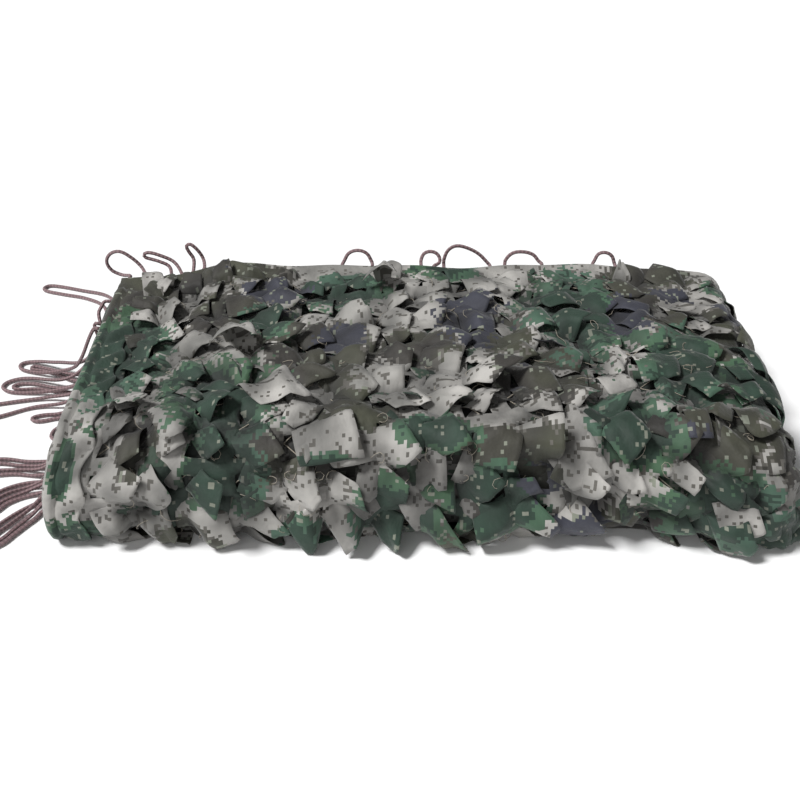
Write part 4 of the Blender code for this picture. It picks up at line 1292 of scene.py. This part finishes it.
# The leaves inside: rows and columns, where each lies in its cell, and length, width and lift.
LOWER_ROWS, LOWER_COLUMNS = 9, 13
LOWER_PLACES = (0.3, 0.7)
LOWER_LEAF = (0.044, 0.042, 0.3)
# Painted shade: the leaves of the layers below are painted darker.
LOWER_SHADE = 0.4
BACK_COLUMNS = 14
BACK_PLACES = (0.2, 0.8)
BACK_LEAF = (0.030, 0.040, 0.35)
BACK_ROOT_DISTANCE = 0.012


def inner_leaves(chance):
    """Leaves of the layers below, which show through the holes, at the back and the right."""
    leaves = []
    start = FOLD.span("front", 1)[0]
    for row in range(LOWER_ROWS):
        for column in range(LOWER_COLUMNS):
            u = (column + chance.uniform(*LOWER_PLACES)) * CLOTH_WIDTH / LOWER_COLUMNS
            s = start + (row + chance.uniform(*LOWER_PLACES)) * CELL_LENGTH
            turn = math.radians(spread(chance, LEANS)) + math.pi
            leaves.append(Leaf(u, s, turn, *LOWER_LEAF, chance, side=-1, shade=LOWER_SHADE))
    for turn in range(TURNS - 1):
        side = 1 if turn % 2 == 0 else -1
        first, last = FOLD.span("back", turn)
        for column in range(BACK_COLUMNS):
            u = (column + chance.uniform(*BACK_PLACES)) * CLOTH_WIDTH / BACK_COLUMNS
            s = between(first, last, chance.uniform(*BACK_PLACES))
            lean = chance.uniform(0, 2 * math.pi)
            leaf = Leaf(u, s, lean, *BACK_LEAF, chance, side=side, reach=BACK_ROOT_DISTANCE)
            leaves.append(leaf)
    return leaves


# ---- the backing mesh ----


SAME_POINT = 0.01  # in radii: points nearer than this are one
STEEP = 0.9  # the rise of a line that is nearly upright


def lengths_along(points):
    """How far along the line each of its points lies."""
    along = [0.0]
    for start, end in zip(points, points[1:]):
        along.append(along[-1] + (end - start).length)
    return along


def tube(mesh, flat, points, radius, sides):
    """A closed tube along the points in the mesh, with its map round it and along it."""
    along = lengths_along(points)
    rows = len(points) - 1
    place = grid(mesh, sides, rows)
    frames = tube_frames(points)
    for vert, (column, row) in place.items():
        angle = 2 * math.pi * column / sides
        aside, up = frames[row]
        vert.co = points[row] + (aside * math.cos(angle) + up * math.sin(angle)) * radius
    for face in faces_of(place):
        for loop in face.loops:
            column, row = place[loop.vert]
            loop[flat].uv = (column / sides, along[row])
    ends = [vert for vert, (column, row) in place.items() if row in (0, rows)]
    bmesh.ops.remove_doubles(mesh, verts=list(place), dist=radius * SAME_POINT)
    edges = {edge for vert in ends if vert.is_valid for edge in vert.link_edges if edge.is_boundary}
    bmesh.ops.holes_fill(mesh, edges=list(edges), sides=sides)


def tube_frames(points):
    """Two directions square to the line at each of its points, turning as little as can be."""
    frames = []
    last = None
    for i, point in enumerate(points):
        ahead = (points[min(i + 1, len(points) - 1)] - points[max(i - 1, 0)]).normalized()
        if last is None:
            last = Vector((0, 0, 1)) if abs(ahead.z) < STEEP else Vector((1, 0, 0))
        last = (last - ahead * last.dot(ahead)).normalized()
        frames.append((last.cross(ahead), last))
    return frames


MESH_STEP = 0.009
MESH_MARGIN = 0.006  # to the left edge and the hem
MESH_MARGIN_RIGHT = 0.01
MESH_WANDER, WANDER_RATE = 0.003, 60.0  # aside, and radians a metre
MESH_DEPTH = 0.0050  # under the cloth
MESH_SAG, SAG_RATE = 0.0012, 150.0
MESH_SIDES = 5
WANDER_PHASES = (0, 6)
FEWEST_POINTS = 4  # shorter threads are left out

# The frayed ends. Pairs are the least and the most.
LOOSE_THREADS = 110
LOOSE_POINTS = 9
LOOSE_SIDES = 4
LOOSE_RADIUS = 0.28  # in diameters of the mesh's thread
LOOSE_LEFT = 0.03
LOOSE_FRONT = 0.02  # above where the front meets the floor
LOOSE_BENDS = (0.2, 0.9)
LOOSE_STEPS = (0.0022, 0.0045)
LOOSE_HEIGHTS = (0.002, 0.006)
LOOSE_BASE = 0.001
LOOSE_TURNS = (-0.5, 0.5)


def loose_thread(u, s, chance):
    """A frayed end that curls over the cloth from this place."""
    heading = chance.uniform(0, 2 * math.pi)
    bend = chance.choice((-1, 1)) * chance.uniform(*LOOSE_BENDS)
    step = chance.uniform(*LOOSE_STEPS)
    height = chance.uniform(*LOOSE_HEIGHTS)
    points = []
    for i in range(LOOSE_POINTS):
        out = LOOSE_BASE + height * math.sin(math.pi * (i + 0.5) / LOOSE_POINTS)
        points.append(lifted(u, s, out + crumple(u, s)))
        u += step * math.cos(heading)
        s += step * math.sin(heading)
        heading += bend + chance.uniform(*LOOSE_TURNS)
    return points


def mesh_thread(start, direction, wander):
    """One thread of the mesh, which runs down the cloth to the right, or with -1 to the left."""
    points = []
    for k in range(int(LEAF_ROWS * CELL_LENGTH / MESH_STEP)):
        s = MESH_MARGIN + k * MESH_STEP
        u = start + direction * (s + MESH_WANDER * math.sin(WANDER_RATE * s + wander))
        if MESH_MARGIN < u < CLOTH_WIDTH - MESH_MARGIN_RIGHT:
            depth = -MESH_DEPTH + MESH_SAG * math.sin(SAG_RATE * s + wander)
            points.append(lifted(u, s, depth + crumple(u, s)))
    return points


def build_backing(sizes, colours):
    """The diamond mesh of thread that carries the cloth, seen through its holes."""
    chance = random.Random(sizes.seed + 1)
    mesh = bmesh.new()
    flat = mesh.loops.layers.uv.new("flat")
    diagonal = sizes.mesh_pitch * math.sqrt(2)
    reach = LEAF_ROWS * CELL_LENGTH
    width = CLOTH_WIDTH - MESH_MARGIN_RIGHT
    for direction in (1, -1):
        for i in range(math.ceil((width + reach) / diagonal)):
            start = i * diagonal - (reach if direction == 1 else 0.0)
            points = mesh_thread(start, direction, chance.uniform(*WANDER_PHASES))
            if len(points) >= FEWEST_POINTS:
                tube(mesh, flat, points, sizes.thread_diameter / 2, MESH_SIDES)
    for _ in range(LOOSE_THREADS):
        u = chance.uniform(LOOSE_LEFT, SHOULDER_U)
        s = chance.uniform(0.0, FRONT_END - LOOSE_FRONT)
        radius = sizes.thread_diameter * LOOSE_RADIUS
        tube(mesh, flat, loose_thread(u, s, chance), radius, LOOSE_SIDES)
    return new_object("backing_threads", mesh, plain_thread(colours))


# ---- the bindings ----


LIP_WIDTH = 0.009
LIP_HEIGHT = 0.0036
GROOVE = 0.0028
GROOVE_PLACE = 1.15  # in widths of the lip
GROOVE_REACH = 0.05  # share of the binding's width
BINDING_THICKNESS = 0.0012
INWARDS = -1.0

FINE_PITCH, COARSE_PITCH = 0.006, 0.02  # between its rows, along the cloth
FEWEST_STEPS = 3
SIDE_COLUMNS = 14
# As far as this past the front, the side binding's inner edge lies over the cloth in waves.
WAVY_END = 0.05
INNER_EDGE, INNER_WAVE = 0.004, 0.004
INNER_WAVE_LENGTH, INNER_WAVE_PHASE = 0.052, 0.8
OVER_CLOTH = 0.0022
OVER_FROM = 0.5  # share of its width over which it rises
# Each wave is height, radians a metre, radians over the binding's width, and phase.
SIDE_WAVES = ((0.0014, 90.0, 8.0, 0.0), (0.0022, 210.0, 7.0, 0.0))
HEM_WAVES = ((0.0012, 60.0, 5.0, 0.0),)
HEM_COLUMNS, HEM_ROWS = 90, 8


def binding_profile(share):
    """The height of the binding from its outer edge, 0, to its inner edge, 1."""
    lip = LIP_WIDTH / BINDING_WIDTH
    if share < lip:
        return LIP_HEIGHT * math.sqrt(max(0.0, 1 - (2 * share / lip - 1) ** 2))
    return -GROOVE * max(0.0, 1 - abs(share - lip * GROOVE_PLACE) / GROOVE_REACH)


def binding_object(name, mesh, sizes, colours):
    """The strip of this binding, whose thickness lies inside the mesh."""
    material = printed_cloth(name + "_cloth", sizes, colours, BINDING_ROUGHNESS)
    obj = new_object(name + "_strip", mesh, material)
    solidify(obj, BINDING_THICKNESS, INWARDS)
    return obj


def build_side_binding(sizes, colours):
    """The strip sewn down the left side, with the folded lip along its outer edge."""
    mesh = bmesh.new()
    rows = []
    for name, turn in FOLD.elements:
        first, last = FOLD.span(name, turn)
        pitch = FINE_PITCH if turn == 0 or name in ("front", "back") else COARSE_PITCH
        steps = max(FEWEST_STEPS, round((last - first) / pitch))
        rows += [between(first, last, i / steps) for i in range(steps)]
    rows.append(CLOTH_LENGTH)
    patch = Patch(mesh, SIDE_COLUMNS, len(rows) - 1)

    def rule(column, row):
        share, s = column / SIDE_COLUMNS, rows[row]
        inner = SEAM_GAP
        over = 0.0
        if s < FRONT_END + WAVY_END:
            wave = math.sin(2 * math.pi * s / INNER_WAVE_LENGTH + INNER_WAVE_PHASE)
            inner = -INNER_EDGE - INNER_WAVE * wave
            over = OVER_CLOTH * smooth(share / OVER_FROM)
        u = between(-SEAM_GAP - BINDING_WIDTH, -inner, share)
        ripple = ripples(SIDE_WAVES, s, share) * (smooth(share / OVER_FROM) * outer_share(s))
        return lifted(u, s, binding_profile(share) + over + ripple), (u, s), 1.0

    patch.shape(rule)
    return binding_object("side_binding", mesh, sizes, colours)


def build_hem_binding(sizes, colours):
    """The strip sewn across the free hem, at the back of the top layer."""
    mesh = bmesh.new()
    patch = Patch(mesh, HEM_COLUMNS, HEM_ROWS)

    def rule(column, row):
        u = between(-BINDING_WIDTH, CLOTH_WIDTH, column / HEM_COLUMNS)
        share = row / HEM_ROWS
        s = between(-SEAM_GAP - BINDING_WIDTH, -SEAM_GAP, share)
        return lifted(u, s, binding_profile(share) + ripples(HEM_WAVES, u, share)), (u, s), 1.0

    patch.shape(rule)
    return binding_object("hem_binding", mesh, sizes, colours)


# ---- the border ties ----
# Each row: name, where the tie leaves the pack, the points that it passes, and where it
# goes back in. A place at the left end is (run, turn, y), and one at the hem is (u,).
TIES = (
    (
        "tie_left_1",
        ("enter", 2, 0.112),
        ((-0.381, 0.115, 0.076), (-0.407, 0.132, 0.035), (-0.451, 0.163, 0.014),
         (-0.486, 0.181, 0.004), (-0.501, 0.177, 0.003), (-0.497, 0.164, 0.003),
         (-0.471, 0.153, 0.005), (-0.442, 0.142, 0.014), (-0.414, 0.125, 0.034)),
        ("enter", 2, 0.101),
    ),
    (
        "tie_left_2",
        ("leave", 3, 0.101),
        ((-0.385, 0.101, 0.066), (-0.407, 0.110, 0.034), (-0.438, 0.125, 0.012),
         (-0.485, 0.141, 0.004), (-0.504, 0.136, 0.003), (-0.510, 0.123, 0.003),
         (-0.499, 0.112, 0.003), (-0.478, 0.109, 0.003), (-0.440, 0.107, 0.008),
         (-0.407, 0.097, 0.026)),
        ("leave", 3, 0.087),
    ),
    (
        "tie_left_3",
        ("enter", 4, 0.083),
        ((-0.385, 0.083, 0.050), (-0.409, 0.089, 0.018), (-0.448, 0.096, 0.005),
         (-0.491, 0.088, 0.003), (-0.519, 0.078, 0.003), (-0.532, 0.067, 0.003),
         (-0.532, 0.054, 0.003), (-0.521, 0.048, 0.003), (-0.498, 0.056, 0.003),
         (-0.460, 0.077, 0.003), (-0.420, 0.078, 0.010), (-0.396, 0.073, 0.032)),
        ("enter", 4, 0.070),
    ),
    (
        "tie_left_4",
        ("leave", 5, 0.061),
        ((-0.387, 0.060, 0.058), (-0.397, 0.061, 0.030), (-0.410, 0.063, 0.010),
         (-0.427, 0.063, 0.003), (-0.445, 0.060, 0.003), (-0.456, 0.053, 0.003),
         (-0.448, 0.047, 0.003), (-0.428, 0.053, 0.003), (-0.410, 0.053, 0.008),
         (-0.397, 0.050, 0.026), (-0.387, 0.048, 0.056)),
        ("leave", 5, 0.047),
    ),
    (
        "tie_left_5",
        ("enter", 6, 0.034),
        ((-0.387, 0.034, 0.054), (-0.398, 0.036, 0.028), (-0.413, 0.036, 0.007),
         (-0.424, 0.027, 0.003), (-0.423, 0.013, 0.003), (-0.410, 0.005, 0.007),
         (-0.397, 0.004, 0.028), (-0.386, 0.004, 0.054)),
        ("enter", 6, 0.004),
    ),
    (
        "tie_left_6",
        ("enter", 5, 0.123),
        ((-0.388, 0.124, 0.036), (-0.404, 0.130, 0.018), (-0.430, 0.146, 0.007),
         (-0.449, 0.156, 0.005), (-0.470, 0.167, 0.003), (-0.484, 0.171, 0.003),
         (-0.485, 0.165, 0.003), (-0.467, 0.160, 0.003), (-0.447, 0.149, 0.004),
         (-0.428, 0.136, 0.005), (-0.405, 0.120, 0.014), (-0.389, 0.113, 0.032)),
        ("enter", 5, 0.111),
    ),
    (
        "tie_left_7",
        ("enter", 6, 0.102),
        ((-0.384, 0.102, 0.048), (-0.410, 0.108, 0.018), (-0.440, 0.119, 0.004),
         (-0.475, 0.130, 0.003), (-0.492, 0.129, 0.003), (-0.497, 0.122, 0.003),
         (-0.488, 0.117, 0.003), (-0.466, 0.118, 0.003), (-0.440, 0.112, 0.003),
         (-0.411, 0.100, 0.012)),
        ("enter", 6, 0.092),
    ),
    (
        "tie_side",
        ("enter", 2, 0.170),
        ((-0.384, 0.166, 0.094), (-0.388, 0.158, 0.086)),
        ("leave", 5, 0.148),
    ),
    (
        "tie_low_1",
        ("enter", 3, -0.050),
        ((-0.397, -0.047, 0.014), (-0.437, -0.034, 0.003), (-0.466, -0.029, 0.003),
         (-0.490, -0.033, 0.003), (-0.501, -0.045, 0.003), (-0.496, -0.056, 0.003),
         (-0.476, -0.060, 0.003), (-0.449, -0.057, 0.003), (-0.425, -0.060, 0.003),
         (-0.398, -0.067, 0.012)),
        ("enter", 3, -0.068),
    ),
    (
        "tie_low_2",
        ("leave", 2, -0.074),
        ((-0.396, -0.079, 0.009), (-0.428, -0.074, 0.003), (-0.451, -0.086, 0.003),
         (-0.468, -0.108, 0.003), (-0.472, -0.123, 0.003), (-0.462, -0.132, 0.003),
         (-0.450, -0.125, 0.003), (-0.440, -0.109, 0.003), (-0.420, -0.096, 0.003),
         (-0.394, -0.094, 0.009)),
        ("leave", 2, -0.090),
    ),
    (
        "tie_low_3",
        ("enter", 1, -0.099),
        ((-0.395, -0.105, 0.005), (-0.416, -0.116, 0.003), (-0.435, -0.139, 0.003),
         (-0.449, -0.164, 0.003), (-0.450, -0.177, 0.003), (-0.439, -0.184, 0.003),
         (-0.428, -0.177, 0.003), (-0.419, -0.161, 0.003), (-0.406, -0.139, 0.003),
         (-0.394, -0.121, 0.005)),
        ("enter", 1, -0.113),
    ),
    (
        "tie_low_4",
        ("leave", 4, -0.055),
        ((-0.397, -0.054, 0.024), (-0.418, -0.048, 0.008), (-0.447, -0.041, 0.003),
         (-0.468, -0.037, 0.003), (-0.484, -0.040, 0.003), (-0.488, -0.046, 0.003),
         (-0.479, -0.051, 0.003), (-0.462, -0.050, 0.003), (-0.440, -0.049, 0.003),
         (-0.418, -0.054, 0.008), (-0.397, -0.061, 0.024)),
        ("leave", 4, -0.063),
    ),
    (
        "tie_low_5",
        ("leave", 2, -0.099),
        ((-0.396, -0.104, 0.014), (-0.413, -0.122, 0.005), (-0.429, -0.146, 0.003),
         (-0.440, -0.165, 0.003), (-0.438, -0.174, 0.003), (-0.430, -0.169, 0.003),
         (-0.421, -0.151, 0.003), (-0.408, -0.131, 0.005), (-0.396, -0.117, 0.012)),
        ("leave", 2, -0.111),
    ),
    (
        "tie_low_6",
        ("enter", 3, -0.079),
        ((-0.397, -0.083, 0.018), (-0.424, -0.082, 0.004), (-0.445, -0.092, 0.003),
         (-0.459, -0.109, 0.003), (-0.462, -0.119, 0.003), (-0.456, -0.119, 0.003),
         (-0.445, -0.104, 0.003), (-0.424, -0.089, 0.004), (-0.396, -0.090, 0.018)),
        ("enter", 3, -0.087),
    ),
    (
        "tie_back_long",
        ("enter", 3, 0.177),
        ((-0.401, 0.181, 0.022), (-0.407, 0.197, 0.007), (-0.404, 0.232, 0.003),
         (-0.401, 0.277, 0.003), (-0.408, 0.327, 0.003), (-0.431, 0.361, 0.003),
         (-0.470, 0.377, 0.003), (-0.508, 0.390, 0.003), (-0.521, 0.389, 0.003),
         (-0.522, 0.378, 0.003), (-0.498, 0.367, 0.003), (-0.460, 0.354, 0.003),
         (-0.431, 0.333, 0.003), (-0.417, 0.297, 0.003), (-0.412, 0.252, 0.003),
         (-0.416, 0.212, 0.003), (-0.414, 0.182, 0.008), (-0.401, 0.165, 0.022)),
        ("enter", 3, 0.161),
    ),
    (
        "tie_corner",
        (-0.007,),
        ((-0.343, 0.219, 0.119), (-0.355, 0.221, 0.131), (-0.368, 0.221, 0.139),
         (-0.380, 0.221, 0.136), (-0.386, 0.221, 0.125), (-0.381, 0.220, 0.114),
         (-0.369, 0.219, 0.108)),
        (-0.026,),
    ),
    (
        "tie_stub",
        (0.038,),
        ((-0.302, 0.219, 0.126), (-0.318, 0.220, 0.134), (-0.331, 0.220, 0.138),
         (-0.3375, 0.220, 0.1365), (-0.3375, 0.220, 0.132), (-0.331, 0.220, 0.1295),
         (-0.319, 0.219, 0.126), (-0.308, 0.218, 0.120)),
        (0.025,),
    ),
    (
        "tie_hem_1",
        (0.067,),
        ((-0.265, 0.219, 0.130), (-0.2695, 0.220, 0.139), (-0.275, 0.220, 0.146),
         (-0.280, 0.220, 0.1495), (-0.2845, 0.220, 0.147), (-0.282, 0.220, 0.139),
         (-0.277, 0.219, 0.130)),
        (0.053,),
    ),
    (
        "tie_hem_2",
        (0.237,),
        ((-0.090, 0.208, 0.132), (-0.084, 0.210, 0.142), (-0.073, 0.210, 0.146),
         (-0.062, 0.210, 0.142), (-0.056, 0.208, 0.132)),
        (0.274,),
    ),
    (
        "tie_hem_3",
        (0.362,),
        ((0.033, 0.208, 0.134), (0.038, 0.210, 0.146), (0.048, 0.210, 0.152),
         (0.062, 0.210, 0.149), (0.076, 0.210, 0.141), (0.087, 0.208, 0.130)),
        (0.419,),
    ),
    (
        "tie_hem_4",
        (0.437,),
        ((0.109, 0.208, 0.134), (0.117, 0.210, 0.142), (0.130, 0.210, 0.144),
         (0.143, 0.210, 0.140), (0.150, 0.208, 0.132)),
        (0.482,),
    ),
    (
        "tie_hem_5",
        (0.545,),
        ((0.218, 0.208, 0.132), (0.223, 0.210, 0.141), (0.232, 0.210, 0.143),
         (0.240, 0.210, 0.138), (0.243, 0.208, 0.130)),
        (0.573,),
    ),
    (
        "tie_hem_6",
        (0.334,),
        ((0.005, 0.212, 0.132), (0.009, 0.216, 0.139), (0.018, 0.217, 0.141),
         (0.026, 0.216, 0.137), (0.028, 0.212, 0.129)),
        (0.350,),
    ),
)


STRAIGHT_START = 4  # radii from the binding to the first bend
CORD_STEP = 0.75  # between the rings of the tube, in diameters
CORD_SIDES = 10


def tie_end(place):
    """(the point at the edge of the binding, the direction that leads away from it)."""
    if len(place) == 1:
        return surface(place[0], -SEAM_GAP - BINDING_WIDTH), Vector((0, 1, 0))
    run, turn, y = place
    s = FOLD.along_at_y(run, turn, y)
    return surface(-SEAM_GAP - BINDING_WIDTH, s), Vector((-1, 0, 0))


def smooth_curve(points, fine=12):
    """A smooth curve through the points, in many small steps."""
    padded = [2 * points[0] - points[1], *points, 2 * points[-1] - points[-2]]
    curve = []
    for before, start, end, after in zip(padded, padded[1:], padded[2:], padded[3:]):
        long = (end - start).length
        slope_in = ((end - before) / max((end - before).length, TINY)) * long
        slope_out = ((after - start) / max((after - start).length, TINY)) * long
        for i in range(fine):
            t = i / fine
            curve.append(
                start * (2 * t**3 - 3 * t**2 + 1) + slope_in * (t**3 - 2 * t**2 + t)
                + end * (3 * t**2 - 2 * t**3) + slope_out * (t**3 - t**2)
            )
    return [*curve, points[-1]]


def even_steps(curve, step):
    """Points along the curve, about a step apart."""
    along = lengths_along(curve)
    count = max(2, round(along[-1] / step))
    points = []
    for i in range(count + 1):
        target = along[-1] * i / count
        spot = min(max(bisect.bisect_right(along, target) - 1, 0), len(along) - 2)
        share = (target - along[spot]) / (along[spot + 1] - along[spot])
        points.append(curve[spot].lerp(curve[spot + 1], share))
    return points


def build_tie(name, start, middle, end, sizes, material):
    """One braided tie: a tube that leaves the pack and goes back into it."""
    (first, out), (last, back) = tie_end(start), tie_end(end)
    radius = sizes.cord_diameter / 2
    route = [first + out * CORD_GAP, first + out * STRAIGHT_START * radius]
    route += [Vector(point) for point in middle]
    route += [last + back * STRAIGHT_START * radius, last + back * CORD_GAP]
    points = even_steps(smooth_curve(route), sizes.cord_diameter * CORD_STEP)
    length = lengths_along(points)[-1]
    mesh = bmesh.new()
    flat = mesh.loops.layers.uv.new("flat")
    tube(mesh, flat, points, radius, CORD_SIDES)
    obj = new_object(name + "_braid", mesh, material)
    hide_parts(name)
    return obj


# ---- operators ----


class NET_OT_stage(bpy.types.Operator):
    """Make the camera, the plain floor and the soft light"""

    bl_idname = "net.stage"
    bl_label = "Stage and camera"

    def execute(self, context):
        scene = context.scene
        camera = bpy.data.cameras.new("camera")
        camera.sensor_width = CAMERA_SENSOR
        camera.lens = CAMERA_LENS
        view = bpy.data.objects.new("camera", camera)
        view.location = CAMERA_PLACE
        view.rotation_euler = (math.radians(90 - CAMERA_DOWN), 0, 0)
        scene.collection.objects.link(view)
        scene.camera = view
        for light in LIGHTS:
            self.light(scene, *light)
        world = scene.world or bpy.data.worlds.new("world")
        scene.world = world
        world.use_nodes = True
        background = world.node_tree.nodes["Background"]
        background.inputs["Color"].default_value = (1.0, 1.0, 1.0, 1.0)
        background.inputs["Strength"].default_value = WORLD_LIGHT
        scene.view_settings.view_transform = "Standard"
        mesh = bmesh.new()
        bmesh.ops.create_grid(mesh, x_segments=4, y_segments=4, size=FLOOR_REACH)
        floor_finish = Finish("plain_floor", FLOOR_ROUGHNESS)
        place = floor_finish.add("ShaderNodeTexCoord", output="Object")
        light, dull = (
            tuple(channel * share for channel in scene.net_colours.floor)
            for share in (1.0, FLOOR_DULLER)
        )
        shade = floor_finish.mix(floor_finish.noise(place, FLOOR_GRAIN), light, dull)
        floor_finish.connect(shade, floor_finish.shader.inputs["Base Color"])
        floor = new_object("floor", mesh, floor_finish.material)
        return {"FINISHED"}

    def light(self, scene, name, place, softness, strength):
        data = bpy.data.lights.new(name, "SUN")
        data.angle = math.radians(softness)
        data.energy = strength
        lamp = bpy.data.objects.new(name, data)
        lamp.location = place
        lamp.rotation_euler = (-Vector(place)).to_track_quat("-Z", "Y").to_euler()
        scene.collection.objects.link(lamp)


class NET_OT_ties(bpy.types.Operator):
    """Make the braided border ties along their routes"""

    bl_idname = "net.ties"
    bl_label = "Border ties"

    def execute(self, context):
        sizes = context.scene.net_sizes
        material = braid_material(sizes, context.scene.net_colours)
        for name, start, middle, end in TIES:
            obj = build_tie(name, start, middle, end, sizes, material)
            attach(obj, BODY)
        return {"FINISHED"}


class NET_OT_garnish(bpy.types.Operator):
    """Make the leaf-cut garnish cloth on the folds of its solid"""

    bl_idname = "net.garnish"
    bl_label = "Garnish cloth"

    def execute(self, context):
        obj = build_garnish(context.scene.net_sizes, context.scene.net_colours)
        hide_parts("garnish_cloth")
        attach(obj, BODY)
        return {"FINISHED"}


class NET_OT_backing(bpy.types.Operator):
    """Make the thread mesh under the garnish cloth"""

    bl_idname = "net.backing"
    bl_label = "Backing mesh"

    def execute(self, context):
        obj = build_backing(context.scene.net_sizes, context.scene.net_colours)
        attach(obj, BODY)
        return {"FINISHED"}


class NET_OT_bindings(bpy.types.Operator):
    """Make the two sewn bindings"""

    bl_idname = "net.bindings"
    bl_label = "Bindings"

    def execute(self, context):
        sizes, colours = context.scene.net_sizes, context.scene.net_colours
        side = build_side_binding(sizes, colours)
        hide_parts("side_binding")
        hem = build_hem_binding(sizes, colours)
        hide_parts("hem_binding")
        for obj in (side, hem):
            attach(obj, BODY)
        return {"FINISHED"}


class NET_PT_panel(bpy.types.Panel):
    """Sizes, colours and operators of the net"""

    bl_idname = "NET_PT_panel"
    bl_label = "Camouflage net"
    bl_space_type = "VIEW_3D"
    bl_region_type = "UI"
    bl_category = "Net"

    def draw(self, context):
        for group in (context.scene.net_sizes, context.scene.net_colours):
            box = self.layout.box()
            for name in group.bl_rna.properties.keys():
                if name not in ("rna_type", "name"):
                    box.prop(group, name)
        for operator in OPERATORS:
            self.layout.operator(operator.bl_idname)


OPERATORS = (NET_OT_stage, NET_OT_ties, NET_OT_garnish, NET_OT_backing, NET_OT_bindings)
CLASSES = (NetSizes, NetColours, *OPERATORS, NET_PT_panel)


def register():
    for cls in CLASSES:
        bpy.utils.register_class(cls)
    bpy.types.Scene.net_sizes = PointerProperty(type=NetSizes)
    bpy.types.Scene.net_colours = PointerProperty(type=NetColours)


def unregister():
    del bpy.types.Scene.net_colours
    del bpy.types.Scene.net_sizes
    for cls in reversed(CLASSES):
        bpy.utils.unregister_class(cls)


def main():
    register()
    bpy.ops.net.stage()
    bpy.ops.net.ties()
    bpy.ops.net.garnish()
    bpy.ops.net.backing()
    bpy.ops.net.bindings()


if __name__ == "__main__":
    main()
